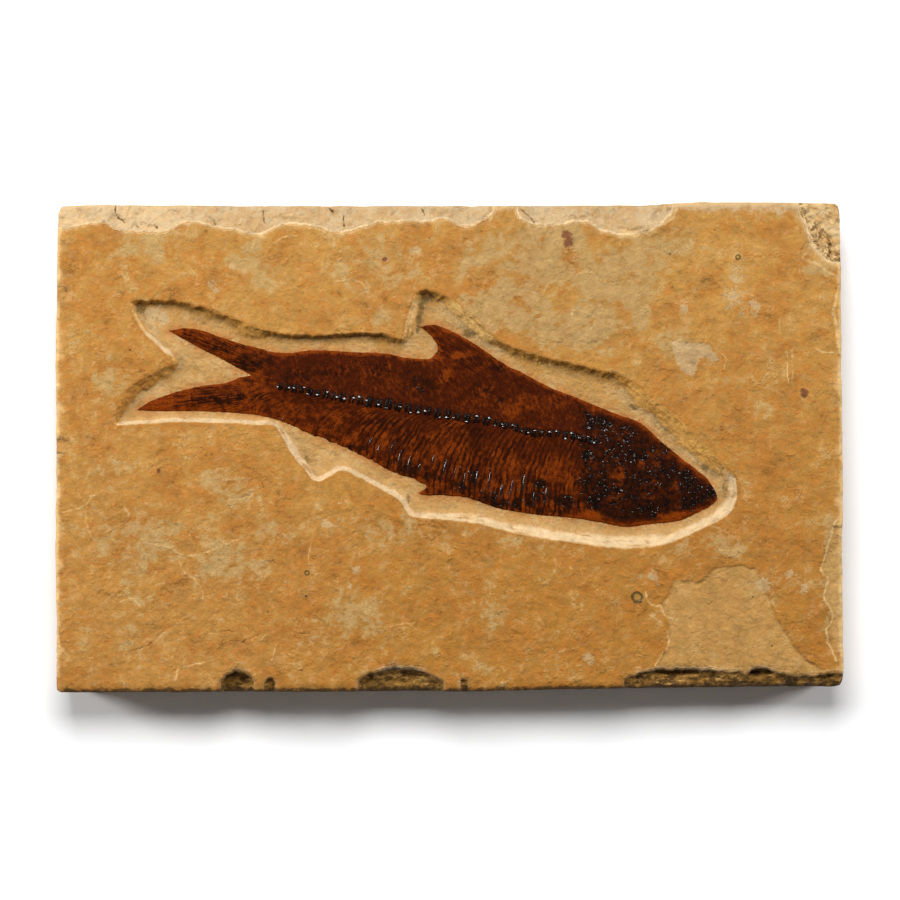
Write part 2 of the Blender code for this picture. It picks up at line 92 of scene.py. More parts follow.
# The line of the backbone, from the root of the tail to the snout.
CREST_LINE = (
    (-39.6, 13.0), (-33.8, 12.2), (-28.2, 11.2), (-20.8, 9.8), (-12.8, 8.6), (-4.4, 7.2), (3.6, 5.8),
    (10.6, 4.6), (15.8, 3.0), (20.6, 2.6), (27.2, 1.8), (31.0, 0.4), (36.0, -1.8), (44.0, -5.6),
    (50.0, -8.6), (53.8, -10.1),
)
BELLY_LINE = (
    (-39.6, 6.6), (-33.8, 5.4), (-28.6, 3.0), (-24.2, 1.4), (-18.2, -1.2), (-14.2, -3.4), (-10.2, -5.4),
    (-5.8, -6.7), (-2.8, -8.6), (1.2, -9.8), (4.2, -10.2), (8.2, -11.8), (12.6, -12.8), (18.2, -13.6),
    (24.2, -14.1), (30.2, -15.0), (35.2, -16.0), (41.2, -15.3), (46.2, -14.8), (50.2, -12.9),
    (52.8, -11.8), (53.8, -10.6),
)
FIRST_VERTEBRA_X, LAST_VERTEBRA_X = -33.8, 30.4
# Spacing of the vertebrae: it tightens where the backbone was crushed.
VERTEBRA_PITCH = (
    (-34.0, 1.4), (-20.0, 1.8), (-8.0, 2.0), (7.6, 1.9), (8.6, 1.05), (14.6, 1.05), (16.4, 1.6),
    (31.0, 1.5),
)
RIB_PITCH = 1.95
FIRST_RIB_X = -10.0
RIB_SWEEP_TAIL, RIB_SWEEP_TRUNK = 10.0, 3.8
# The rays of the fins fan out from these points, and are spaced as they are at these radii.
TAIL_RAY_FOCUS, TAIL_RAY_RADIUS = (-26.0, 12.0), 40.0
DORSAL_RAY_FOCUS, DORSAL_RAY_RADIUS = (16.0, 9.0), 18.0
TAIL_X, GILL_X = -33.0, 25.0
# How much longer than wide the fibres of the bone are.
FIBRE_STRETCH = 7.0

# Areas of the fish that are darker and glossier: place, radius along X and along Y, strength.
DARK_AREAS = (
    ((27.6, -1.8), 1.5, 2.0, 1.0), ((28.2, 1.4), 3.0, 1.5, 0.7), ((25.2, 2.0), 1.8, 1.3, 0.6),
    ((32.6, 2.4), 1.8, 2.2, 0.5), ((32.6, -0.8), 1.3, 1.8, 0.6), ((43.0, -0.4), 3.2, 1.5, 0.8),
    ((38.2, -1.6), 3.4, 1.0, 0.7), ((39.4, -5.2), 1.4, 1.0, 0.7), ((37.0, -5.8), 1.2, 1.4, 0.6),
    ((41.2, -8.0), 2.4, 1.0, 0.6), ((33.4, -8.6), 1.3, 1.2, 0.9), ((33.0, -10.6), 1.2, 2.2, 0.7),
    ((26.2, -7.2), 1.6, 1.5, 0.6), ((23.2, -10.6), 2.2, 1.8, 0.8), ((30.2, -8.0), 2.4, 1.2, 0.3),
    ((28.2, -10.8), 1.5, 0.8, 0.4), ((41.0, -13.4), 1.0, 1.2, 0.9), ((37.4, -13.0), 3.0, 1.8, 0.5),
    ((43.0, -12.0), 4.6, 1.2, 0.55), ((47.4, -6.6), 1.8, 3.6, 0.9), ((50.2, -9.4), 2.8, 2.6, 0.8),
    ((52.4, -9.2), 1.4, 2.2, 0.9), ((18.2, -7.4), 1.6, 1.3, 0.9), ((17.6, -9.6), 2.0, 1.3, 0.8),
    ((4.8, -5.8), 0.9, 2.2, 0.8), ((2.2, -8.2), 2.8, 1.1, 0.6), ((8.2, -9.6), 1.8, 1.8, 0.6),
    ((11.4, -11.6), 3.0, 0.9, 0.5), ((15.4, -1.6), 1.8, 1.1, 0.35), ((5.4, 2.8), 2.6, 1.0, 0.35),
    ((-23.4, 15.0), 4.0, 1.8, 0.35), ((-29.8, 14.4), 4.0, 1.4, 0.4), ((-13.8, 15.4), 2.0, 1.6, 0.35),
    ((-5.8, 12.4), 4.4, 2.4, 0.45), ((6.2, 11.0), 3.4, 2.0, 0.35), ((10.2, 15.8), 2.4, 1.0, 0.6),
    ((4.2, 17.4), 3.0, 1.6, 0.4), ((10.2, 9.4), 2.0, 1.4, 0.4), ((-18.8, 0.0), 2.4, 0.8, 0.6),
    ((-12.8, 4.8), 3.4, 1.4, 0.45), ((-10.8, -3.0), 2.0, 1.0, 0.5), ((-24.8, 9.4), 4.0, 0.9, 0.3),
    ((-39.8, 17.0), 5.0, 2.0, 0.6), ((-44.8, 19.8), 4.4, 1.5, 0.5), ((-40.8, 10.0), 5.0, 1.3, 0.6),
    ((-46.8, 9.4), 6.0, 1.0, 0.55),
)
# Areas of the fish that are thin and let the pale stone glow through, listed the same way.
AMBER_AREAS = (
    ((29.2, -13.6), 3.2, 1.1, 0.9), ((45.2, -13.8), 4.4, 0.9, 1.0), ((33.8, -5.6), 1.8, 2.6, 0.6),
    ((41.2, -4.0), 1.2, 1.6, 0.5), ((38.6, -3.6), 0.9, 1.3, 0.5), ((45.2, -7.6), 1.6, 1.4, 0.6),
    ((30.8, 7.4), 3.2, 1.0, 0.6), ((23.4, -6.6), 1.6, 2.2, 0.6), ((15.0, -11.6), 1.3, 1.6, 0.7),
    ((14.2, -3.6), 1.6, 1.3, 0.5), ((1.2, 4.6), 2.2, 0.8, 0.6), ((41.2, -9.8), 4.0, 0.8, 0.35),
    ((-12.6, 16.2), 1.4, 1.0, 0.6), ((-14.6, 14.8), 2.0, 0.9, 0.5), ((-2.4, 19.0), 1.4, 2.4, 0.6),
    ((1.2, 18.4), 3.4, 0.9, 0.6), ((-0.8, 14.4), 1.8, 2.0, 0.5), ((7.2, 11.4), 2.0, 1.0, 0.5),
    ((15.2, 9.0), 3.0, 1.8, 0.45), ((12.2, 7.4), 3.0, 1.4, 0.35), ((22.2, 9.4), 3.0, 1.5, 0.4),
    ((-31.8, 7.4), 3.6, 1.4, 0.4), ((-24.8, 3.0), 3.0, 1.2, 0.5), ((-16.2, 7.0), 2.4, 1.4, 0.5),
    ((-15.8, 3.8), 1.6, 0.8, 0.4), ((-22.8, 19.0), 4.0, 0.8, 0.4), ((-1.8, -0.6), 4.0, 2.0, 0.35),
    ((10.2, -4.6), 4.0, 2.0, 0.35), ((-47.8, 19.0), 5.0, 1.0, 0.7), ((-54.2, 23.0), 2.4, 1.0, 0.9),
    ((-59.8, 8.4), 3.0, 1.0, 0.8), ((-46.8, 7.8), 8.0, 0.6, 0.8), ((-42.8, 12.8), 5.0, 0.8, 0.5),
    ((-37.4, 13.8), 1.6, 1.4, 0.4),
)
# Raised edges of the bones of the head and shoulder: half width, strength, points.
HEAD_BONES = (
    (0.6, 0.6, (
        (36.8, -4.8), (37.8, -2.6), (39.8, -1.7), (41.9, -2.6), (42.9, -4.8), (41.9, -7.0), (39.8, -7.9),
        (37.8, -7.0), (36.8, -4.8),
    )),
    (0.45, 0.8, ((31.4, 0.2), (31.0, -2.2), (31.4, -4.6), (32.2, -7.4), (32.6, -10.2), (32.2, -13.4))),
    (0.4, 0.6, ((35.8, -0.6), (35.4, -3.8), (35.8, -7.0), (36.6, -9.8), (38.6, -11.8), (41.4, -13.0))),
    (0.35, 0.6, ((23.8, 1.0), (24.6, -1.0), (24.2, -3.8), (23.0, -6.2), (22.4, -8.6))),
    (0.35, 0.5, ((26.6, -0.2), (27.4, -3.0), (28.2, -5.8), (27.4, -9.0), (26.2, -10.6))),
    (0.6, 0.6, ((30.2, 3.4), (34.2, 2.6), (38.2, 1.4), (41.4, 0.2), (44.6, -1.8), (47.0, -3.8))),
    (0.4, 0.6, ((36.2, -10.6), (40.2, -10.6), (43.8, -11.6), (48.2, -11.4), (51.4, -10.6))),
    (0.35, 0.7, ((38.2, -13.0), (41.4, -12.6), (45.4, -12.4), (49.4, -12.0), (51.8, -11.2))),
    (0.8, 0.8, ((47.0, -3.4), (48.2, -5.8), (48.2, -8.6), (47.0, -10.6))),
    (0.7, 0.7, ((23.4, 2.0), (25.4, 2.0), (27.8, 1.2), (29.8, 0.2), (31.8, -0.6))),
)
# Grains of bone that catch the light.
BONE_GRAINS = (
    (24.8, 2.6), (27.0, 2.2), (27.8, 1.6), (28.7, -1.2), (28.9, -2.2), (30.8, -3.0), (31.0, -4.0),
    (34.0, 1.4), (34.2, 6.0), (35.6, 3.4), (29.6, 6.0), (40.1, 1.8), (32.8, -1.6), (35.4, -2.8),
    (36.4, -3.0), (31.6, 1.8), (30.4, 0.8), (36.8, -5.8), (43.1, -5.9), (46.2, -9.0), (49.6, -10.0),
    (52.2, -9.0), (51.8, -10.8), (48.9, -12.8), (40.8, -13.0), (24.4, -10.1), (24.8, -10.8), (26.4, -9.4),
    (23.0, -11.9), (28.5, -12.3), (34.7, -10.4), (5.0, -5.6), (2.2, -4.0), (9.2, -9.2), (9.6, -9.8),
    (11.5, -9.3), (12.9, -7.4), (13.8, -8.6), (14.9, -10.6), (19.0, -10.9), (-30.3, 7.5), (-33.3, 5.6),
    (-23.3, 17.7), (-9.2, -2.4), (-9.3, 5.6), (20.8, 8.0), (8.2, -4.4),
)

TRENCH_DEPTH = 2.0
# The rim of the trench, clockwise from its far tail corner: place, run of the wall, and its paleness.
TRENCH_RIM = (
    (-63.8, 29.2, 1.3, 0.2), (-61.2, 29.4, 1, 0), (-58.2, 29.4, 1, 0), (-55.8, 29.5, 1, 0),
    (-53.8, 29.1, 1, 0), (-51.4, 28.4, 1.1, 0), (-48.8, 27.9, 1.3, 0.1), (-45.8, 26.8, 1.4, 0.1),
    (-42.4, 25.6, 1.4, 0.1), (-39.8, 24.4, 2.2, 0.2), (-37.4, 23.6, 2.1, 0.2), (-34.8, 22.8, 1, 0),
    (-31.8, 22.4, 0.8, 0), (-27.8, 22.4, 0.8, 0), (-23.8, 22.4, 0.8, 0), (-19.8, 22.8, 0.8, 0),
    (-14.8, 22.8, 0.8, 0), (-12.8, 22.4, 1, 0.1), (-10.0, 21.7, 0.8, 0.2), (-9.2, 22.6, 2.0, 0.8),
    (-8.8, 25.0, 2.3, 0.82), (-8.2, 27.4, 2.2, 0.82), (-7.2, 29.6, 1.6, 0.7), (-6.2, 31.0, 1.3, 0.1),
    (-4.4, 31.5, 1.1, 0), (-2.4, 31.0, 1.6, 0.1), (-0.6, 30.2, 1.4, 0.3), (1.2, 29.0, 2.2, 0.55),
    (3.0, 27.6, 2.4, 0.6), (5.0, 26.0, 2.4, 0.6), (7.0, 24.0, 2.2, 0.6), (9.0, 22.0, 1.6, 0.5),
    (10.6, 20.8, 1.1, 0.3), (13.2, 19.8, 1.4, 0.2), (16.2, 18.8, 1.3, 0.15), (19.2, 18.0, 1.1, 0.1),
    (22.2, 17.1, 1.1, 0.1), (25.2, 16.6, 1.1, 0.1), (28.2, 15.8, 1.1, 0.1), (31.2, 15.0, 1.1, 0.1),
    (34.2, 14.4, 1.4, 0.1), (36.6, 13.0, 2, 0.35), (38.8, 11.2, 3, 0.4), (41.2, 9.4, 3.3, 0.4),
    (44.2, 7.2, 3.4, 0.4), (47.2, 4.4, 3.5, 0.4), (50.2, 1.4, 3.5, 0.4), (52.2, -0.4, 3.2, 0.4),
    (54.4, -3.0, 2.6, 0.45), (56.0, -4.6, 2, 0.8), (57.4, -6.2, 1.6, 1), (57.8, -8.6, 1.8, 1),
    (57.6, -11.2, 2.2, 1), (56.2, -13.4, 2.4, 1), (53.8, -15.0, 2.2, 1), (50.2, -16.8, 2, 1),
    (46.2, -18.6, 2, 1), (42.6, -19.8, 2.2, 1), (38.2, -20.4, 2.6, 1), (33.2, -20.4, 2.8, 1),
    (29.2, -20.0, 2.6, 1), (25.2, -19.3, 2.4, 1), (21.2, -18.8, 2.2, 1), (17.2, -18.2, 2.2, 1),
    (13.2, -17.4, 2, 0.9), (10.2, -16.7, 1.8, 0.9), (6.2, -15.6, 1.8, 0.9), (2.2, -15.0, 1.6, 0.95),
    (-1.8, -14.6, 1.5, 1), (-5.8, -14.3, 1.3, 1), (-7.6, -14.0, 1.2, 1), (-8.8, -12.8, 1.3, 0.95),
    (-9.8, -10.8, 1.2, 0.9), (-11.6, -9.7, 1.2, 0.95), (-14.8, -7.9, 1.2, 1), (-18.8, -5.8, 1.2, 1),
    (-21.8, -4.9, 1.1, 1), (-23.8, -6.0, 1.1, 1), (-25.6, -7.0, 1.1, 0.9), (-27.4, -6.6, 1.2, 0.9),
    (-29.8, -3.6, 1.4, 0.9), (-32.2, -0.4, 1.4, 0.9), (-33.8, 2.4, 1.4, 0.9), (-35.0, 4.2, 1, 0.95),
    (-37.4, 4.3, 1, 1), (-41.8, 4.6, 1, 1), (-46.8, 4.8, 1, 1), (-51.8, 4.9, 1, 1), (-57.8, 4.7, 1, 1),
    (-62.8, 4.5, 0.9, 1), (-66.4, 4.4, 0.8, 1), (-66.7, 5.4, 0.7, 0.3), (-66.4, 7.6, 1.8, 0.28),
    (-65.5, 9.8, 2.2, 0.3), (-64.0, 11.8, 2.4, 0.3), (-61.8, 13.4, 2.4, 0.3), (-59.0, 15.0, 2.2, 0.28),
    (-56.8, 16.1, 1.8, 0.24), (-55.2, 17.0, 1.1, 0.4), (-56.2, 18.2, 1, 0.9), (-57.8, 19.7, 1, 0.9),
    (-60.2, 21.8, 1, 0.9), (-61.8, 23.6, 1.1, 0.85), (-63.0, 25.6, 1.2, 0.8), (-63.6, 27.4, 1, 0.6),
)
# Tips of the fins that are too narrow for the grid that is cut to the fish's outline.
FIN_TIPS = ((-56.2, 23.3), (-62.6, 7.4), (-5.8, 24.1), (-6.6, -9.3))
TIP_REACH = 3.0
# Rods of bone: place along the rod, and share of its radius there.
VERTEBRA_PROFILE = ((-1.0, 0.5), (-0.7, 1.0), (0.0, 0.8), (0.7, 1.0), (1.0, 0.5))
BEAD_PROFILE = ((-0.2, 0.2), (-0.14, 0.8), (0.0, 1.0), (0.14, 0.8), (0.2, 0.2))
ROD_SIDES, RIB_SIDES, RIB_SEGMENTS = 12, 8, 10
# The dressed fish is at least this high above its bed, and its skirt goes this far below it.
LEAST_HEIGHT, SKIRT_DEPTH = 0.08, 0.12
BORDER_EASING = 14
# Grains of bone are scattered over the dark areas past this X or below this Y, so many to an area.
GRAINS_FROM_X, GRAINS_BELOW_Y, GRAINS_PER_AREA = 16.0, -5.0, 4
GRAIN_HEIGHT, GRAIN_SINK, GRAIN_MARGIN = 0.16, 0.06, 0.35
VERTEBRAE_SEED, RIBS_SEED, GRAINS_SEED = 34, 7, 11

# Soft-edged areas of paler, greyer stone: place, radius along X and along Y, strength.
KHAKI_AREAS = (
    ((20.0, 38.0), 13.0, 9.0, 0.9), ((33.0, 34.0), 11.0, 10.0, 0.8), ((27.0, 24.0), 12.0, 6.0, 0.9),
    ((42.0, 43.0), 9.0, 6.0, 0.7), ((8.0, 38.0), 10.0, 8.0, 0.6), ((46.0, 20.0), 5.0, 5.0, 0.5),
    ((-38.0, 36.0), 9.0, 7.0, 0.55), ((-14.0, 36.0), 10.0, 9.0, 0.45), ((-45.0, -24.0), 10.0, 7.0, 0.6),
    ((-34.0, -17.0), 8.0, 5.0, 0.45), ((-8.0, -16.0), 14.0, 4.0, 0.6), ((-64.0, -36.0), 10.0, 8.0, 0.35),
    ((-44.0, -8.0), 7.0, 5.0, 0.45), ((8.0, -36.0), 10.0, 8.0, 0.25), ((-70.0, -8.0), 6.0, 9.0, 0.35),
    ((62.0, -28.0), 6.0, 3.0, 0.6), ((-58.0, 43.0), 12.0, 4.0, 0.5), ((52.0, -20.0), 10.0, 4.0, 0.45),
    ((76.6, -26.0), 2.6, 14.0, 0.9), ((-66.0, 12.0), 7.0, 10.0, 0.5), ((-62.0, -18.0), 12.0, 9.0, 0.55),
    ((11.0, 29.0), 11.0, 7.0, 0.85), ((-13.4, 27.0), 4.0, 4.0, 0.55), ((74.4, 35.6), 4.4, 2.4, 1.0),
    ((-20.0, -36.0), 14.0, 6.0, 0.45), ((20.0, -18.6), 14.0, 3.0, 0.4), ((-62.0, 40.0), 10.0, 5.0, 0.4),
)
# A thin flake lost from the skin of the stone, which left a pale print.
PALE_FLAKE = (
    (44.4, 21.4), (48.0, 20.8), (51.8, 20.7), (54.0, 17.6), (52.6, 16.9), (51.2, 18.2), (49.8, 17.8),
    (49.4, 15.0), (48.6, 14.2), (46.4, 15.4), (45.2, 17.2),
)
# Dark rings and dots in the stone: place, radius, and width of the ring's line, where a dot has none.
DARK_RINGS = (((37.6, -30.0), 1.0, 0.24), ((57.8, 38.0), 0.46, 0.13), ((-28.4, -25.2), 0.4, 0.12))
DARK_DOTS = (
    ((-28.6, -29.8), 0.3), ((-36.2, -33.0), 0.22), ((44.2, 38.6), 0.32), ((64.6, -39.8), 0.26),
    ((60.8, -30.0), 0.22), ((53.2, 43.4), 0.2), ((-29.6, -28.8), 0.16), ((33.6, -31.4), 0.18),
)
PURPLE_STAINS = (
    ((23.4, 42.4), 1.3), ((23.9, 41.0), 1.3), ((-12.8, 37.6), 0.7), ((-58.2, -4.8), 0.6),
    ((71.2, 11.0), 1.2),
)
WHITE_SPECKS = (
    ((-24.2, -15.2), 1.0), ((-18.5, -24.5), 0.7), ((-21.9, -11.4), 0.7), ((40.2, -25.4), 1.2),
    ((-20.0, -28.0), 0.6), ((28.0, -42.4), 0.8), ((-67.2, 30.2), 0.5), ((-6.4, 39.0), 0.7),
    ((71.6, -28.0), 1.0), ((-43.4, 36.0), 0.7), ((-46.8, 31.8), 0.9), ((62.8, -27.2), 1.2),
    ((68.4, -25.8), 0.9), ((-53.0, 33.0), 0.4), ((-59.2, 26.8), 1.6), ((-57.6, 25.0), 1.2),
    ((-59.8, 24.2), 0.9), ((56.4, 30.2), 1.4), ((60.6, 28.6), 1.6), ((57.0, 33.4), 1.1),
    ((46.8, 28.8), 1.2),
)
# Narrow cracks: half width, depth, points.
CRACKS = (
    (0.22, 1.0, ((-66.8, 48.2), (-66.8, 46.6), (-65.0, 44.8))),
    (0.22, 0.8, ((-62.8, 44.4), (-62.0, 44.0))), (0.22, 0.8, ((-59.0, 44.4), (-58.4, 43.8))),
    (0.22, 0.7, ((-48.0, 46.2), (-46.8, 44.6))),
    (0.26, 1.0, ((-37.4, 47.4), (-37.3, 46.2), (-36.8, 44.8))),
    (0.22, 0.9, ((-24.0, 47.8), (-23.2, 47.0))), (0.27, 1.0, ((-21.2, 46.4), (-21.0, 44.2))),
    (0.2, 0.8, ((-5.4, 47.4), (-4.8, 46.4))), (0.22, 0.9, ((14.2, 47.8), (15.4, 46.6), (17.2, 45.0))),
    (0.22, 0.6, ((-63.8, 19.4), (-62.4, 18.2))), (0.18, 0.5, ((35.2, 37.4), (35.0, 35.4))),
    (0.2, 0.5, ((-75.6, 37.6), (-73.8, 36.4))), (0.25, 0.7, ((-66.2, 31.0), (-65.0, 30.4))),
    (0.18, 0.5, ((-6.0, -15.6), (-1.8, -16.4))), (0.16, 0.5, ((43.0, 26.2), (43.6, 23.4), (42.8, 21.0))),
    (0.25, 0.5, ((-34.4, 23.6), (-31.6, 23.6))),
    (0.2, 0.5, ((-22.6, 23.0), (-20.4, 23.4), (-15.0, 23.4))), (0.2, 0.5, ((-62.2, 19.0), (-60.6, 17.8))),
    (0.2, 0.6, ((-63.6, -40.8), (-60.0, -39.6), (-57.0, -36.6))),
    (0.2, 0.6, ((-47.4, -37.2), (-43.8, -36.8))), (0.2, 0.6, ((-41.4, -39.0), (-37.8, -37.4))),
    (0.16, 0.6, ((-30.0, -37.3), (-27.6, -37.3))), (0.16, 0.5, ((-25.8, -40.2), (-22.2, -40.2))),
    (0.2, 0.6, ((-37.8, -6.0), (-36.9, -8.4))), (0.2, 0.6, ((-42.6, -10.2), (-39.9, -9.6))),
    (0.2, 0.6, ((-34.5, -7.8), (-33.9, -9.9))), (0.2, 0.6, ((-58.8, -24.7), (-56.7, -24.3))),
    (0.16, 0.5, ((29.8, 38.2), (33.4, 38.4))), (0.16, 0.5, ((41.0, 25.4), (41.6, 23.4))),
    (0.2, 0.5, ((50.2, 23.8), (50.8, 24.8))),
    (0.3, 0.3, (
        (43.8, -26.8), (47.8, -26.2), (49.8, -27.6), (52.6, -26.0), (55.4, -24.6), (58.2, -23.8),
        (61.6, -24.6),
    )),
    (0.3, 0.35, (
        (61.6, -24.6), (64.0, -30.2), (65.8, -35.0), (68.6, -39.0), (71.0, -42.6), (75.0, -44.0),
    )),
)
# Dark dirt and painted shade in the corners of the trench: place, radius along X and along Y, strength.
DIRT_AND_SHADE_AREAS = (
    ((-5.0, 29.8), 2.2, 1.3, 0.9), ((-5.8, 27.0), 0.9, 3.4, 0.9), ((-6.2, 23.8), 0.6, 1.6, 0.8),
    ((3.8, 22.8), 1.4, 1.2, 0.9), ((1.6, 24.4), 2.4, 1.0, 0.45), ((12.8, 18.6), 0.8, 1.2, 0.6),
    ((36.6, 7.9), 1.0, 0.8, 0.9), ((41.8, 5.2), 2.2, 1.4, 0.5), ((43.6, 3.2), 1.0, 1.2, 0.6),
    ((51.2, -4.0), 1.0, 0.8, 0.9), ((53.2, -5.6), 1.2, 0.9, 0.5), ((55.2, -8.6), 0.8, 2.6, 0.6),
    ((54.2, -11.8), 1.4, 0.9, 0.4), ((-61.8, 27.6), 1.4, 1.2, 0.8), ((-61.2, 26.0), 1.2, 1.6, 0.4),
    ((-56.0, 15.8), 1.0, 0.8, 0.7), ((-28.6, -2.4), 0.7, 2.2, 0.6), ((-27.2, -5.2), 0.8, 0.8, 0.6),
    ((-8.2, -10.6), 0.6, 1.6, 0.8), ((33.4, 11.2), 2.0, 0.7, 0.4),
)
# Raised or freshly chipped edges that shine pale: half width, strength, points.
PALE_EDGES = (
    (0.22, 0.9, ((39.2, -29.0), (40.2, -31.4), (42.4, -32.0), (43.4, -33.8), (45.6, -34.6))),
    (0.24, 0.9, ((43.8, -37.0), (43.8, -39.6), (42.6, -41.6), (41.2, -44.0))),
    (0.26, 1.0, (
        (77.4, -14.6), (76.2, -18.2), (75.0, -22.6), (74.4, -24.6), (75.8, -26.6), (75.0, -30.0),
        (76.8, -33.6), (75.6, -36.6), (75.8, -39.0), (77.0, -41.6), (77.6, -43.0),
    )),
    (0.3, 0.8, ((45.6, 48.2), (45.0, 46.2), (43.0, 44.6), (40.2, 43.4), (36.2, 43.0), (32.2, 44.0))),
    (0.26, 0.7, ((43.4, 47.8), (42.4, 45.8), (40.0, 44.6))),
    (0.26, 0.6, ((-36.0, 44.6), (-33.2, 46.4), (-29.0, 46.2))),
    (0.3, 0.6, (
        (71.8, 42.2), (72.2, 39.8), (70.8, 38.2), (71.4, 37.4), (73.8, 36.6), (75.8, 35.0), (77.8, 34.0),
    )),
    (0.5, 0.8, ((77.9, 32.0), (77.4, 29.0), (76.8, 27.0), (77.6, 24.0), (77.9, 20.0))),
    (0.2, 0.9, ((67.6, 19.0), (67.8, 13.0))), (0.3, 0.5, ((68.6, 19.0), (68.8, 12.6))),
    (0.2, 0.7, ((-22.6, 33.2), (-19.0, 33.4), (-16.4, 31.8))),
    (0.24, 0.8, ((73.4, 19.8), (74.6, 19.0), (77.0, 18.8))),
    (0.2, 0.6, ((19.0, 31.0), (20.4, 33.0), (24.0, 33.2))),
    (0.2, 0.6, ((-36.0, 40.0), (-33.2, 42.0), (-30.4, 42.2))), (0.2, 0.5, ((58.0, 31.0), (61.0, 30.2))),
    (0.2, 0.6, ((-66.0, -31.0), (-63.4, -30.4), (-61.6, -32.0))),
    (0.18, 0.6, ((22.0, -41.0), (24.8, -40.2))),
    (0.18, 0.6, ((-12.0, -36.0), (-8.4, -35.2), (-6.4, -36.6))),
    (0.18, 0.6, ((52.0, -15.6), (56.0, -17.2))),
    (0.2, 0.6, ((-78.0, -13.2), (-73.8, -12.2), (-70.8, -9.6))),
    (0.2, 0.5, ((-72.6, -12.0), (-72.3, -16.2), (-70.8, -18.6))),
    (0.2, 0.5, ((-64.8, -12.0), (-64.2, -14.4), (-68.4, -16.8))),
    (0.2, 0.6, ((-58.8, -27.6), (-55.8, -27.0))),
    (0.2, 0.6, (
        (-61.2, -19.2), (-55.8, -20.1), (-54.0, -21.3), (-49.8, -21.6), (-44.4, -19.2), (-42.6, -18.6),
    )),
    (0.2, 0.6, ((-54.0, -22.8), (-52.8, -25.2), (-50.4, -27.0), (-49.2, -30.0), (-51.6, -30.3))),
    (0.22, 0.7, ((-54.6, -46.8), (-54.0, -44.4), (-51.0, -43.5), (-47.4, -42.9))),
    (0.2, 0.6, ((-35.4, -42.6), (-34.5, -39.6))), (0.2, 0.6, ((-28.2, -22.2), (-27.6, -19.2))),
    (0.2, 0.5, ((25.8, 34.6), (28.2, 35.2), (29.8, 33.8), (32.2, 32.6))),
    (0.2, 0.5, ((24.6, 25.8), (25.0, 27.4), (28.2, 26.6), (29.2, 25.0), (28.2, 23.4))),
    (0.2, 0.6, ((66.0, 25.4), (66.2, 22.6))), (0.2, 0.6, ((54.6, 18.6), (55.4, 17.8), (55.0, 15.6))),
)
# Deep hollows in the broken lower edge: place, radius along X and along Y, depth.
HOLLOWS = (((45.8, -45.0), 4.6, 0.7, 1.2), ((62.8, -45.0), 2.6, 0.8, 1.2), ((66.4, -46.2), 1.2, 0.8, 0.6))

# The studio, in metres. The side light's place is the right one's, and the left one mirrors it.
FLOOR_HALF_SIZE = 1.5
KEY_PLACE, KEY_SIZE = (-0.03, 0.45, 0.67), (0.42, 0.46)
SIDE_LIGHT_PLACE, SIDE_LIGHT_SIZE = (0.59, 0.16, 0.30), (0.16, 0.2)
SKY_COLOR = (0.98, 1.0, 1.04, 1.0)
# The camera's sensor, in millimetres, and its place over the slab, a little off the middle.
SENSOR_WIDTH = 36.0
CAMERA_PLACE = (0.2 * MM, -0.6 * MM)


def srgb(red, green, blue):
    """The share of light that a surface returns if the studio's light shows it in this colour, 0 to 255."""
    channels = (channel / 255 for channel in (red, green, blue))
    linear = (c / 12.92 if c <= 0.04045 else ((c + 0.055) / 1.055) ** 2.4 for c in channels)
    return tuple(c / LIGHT_LEVEL for c in linear)


# Colours of the skin.
SANDY = srgb(208, 156, 86)
OLIVE = srgb(176, 132, 64)
LOST_LEAF = srgb(202, 155, 86)
DUST = srgb(214, 172, 112)
FRECKLE = srgb(132, 84, 32)
FLAKE_EDGE = srgb(240, 196, 128)
PALE_SEAM = srgb(232, 186, 116)
DARK_SLIT = srgb(150, 96, 34)
# Colours of the trench.
DULL_BED = srgb(198, 146, 74)
BED_STREAK = srgb(160, 124, 72)
FISH_STAIN = srgb(184, 100, 36)
# Painted shade on the floor along the foot of the shaded walls, widening their cast shadow.
SHADED_FOOT = srgb(172, 120, 46)
PALE_FOOT = srgb(226, 184, 118)
SLOPE_FOOT = srgb(204, 172, 120)
WALL_SPECK = srgb(84, 60, 26)
# Golden lip of the shaded walls: painted shade colour, the warm cast of shade and bounced light.
SHADED_WALL_LIP = srgb(228, 164, 66)
WARM_CUT = srgb(252, 202, 130)
SLOPE = srgb(234, 174, 86)
PALE_SLOPE = srgb(248, 198, 116)
RUSTY_SLOPE = srgb(212, 146, 62)
SLOPE_STREAK = srgb(190, 134, 58)
SLOPE_SHADE = srgb(176, 134, 76)
# Dirt and painted shade in the corners of the trench.
DIRT_AND_SHADE = srgb(106, 82, 38)
# Colours of the broken edges and the sides.
PALE_CRUMB = srgb(252, 218, 160)
DULL_CRUMB = srgb(224, 176, 108)
DARK_PIT = srgb(132, 92, 42)
WHITE_BREAK = srgb(255, 222, 172)
PALE_LEDGE = srgb(222, 178, 104)
BROWN_LEDGE = srgb(162, 116, 46)
DARK_LEDGE = srgb(82, 58, 18)
NORTH_RIM = srgb(208, 180, 138)
TORN_SKIN = srgb(228, 180, 112)
SIDE_BED = srgb(196, 150, 96)
# Colours of single marks.
PALE_LINE = srgb(246, 204, 138)
FLAKE_PRINT = srgb(206, 172, 122)
PURPLE = srgb(120, 62, 34)
CHALK = srgb(224, 194, 144)
RING_MIDDLE = srgb(150, 124, 60)
RING_LINE = srgb(74, 60, 18)
CRACK_SHADE = srgb(92, 64, 26)


def color_property(name, description, color):
    return bpy.props.FloatVectorProperty(
        name=name, description=description, default=color, size=3, min=0.0, max=1.0, subtype="COLOR"
    )


def length_property(name, description, millimetres):
    return bpy.props.FloatProperty(
        name=name, description=description, default=millimetres * MM, min=0.0, unit="LENGTH", precision=5
    )


def power_property(name, description, watts):
    return bpy.props.FloatProperty(name=name, description=description, default=watts, unit="POWER")


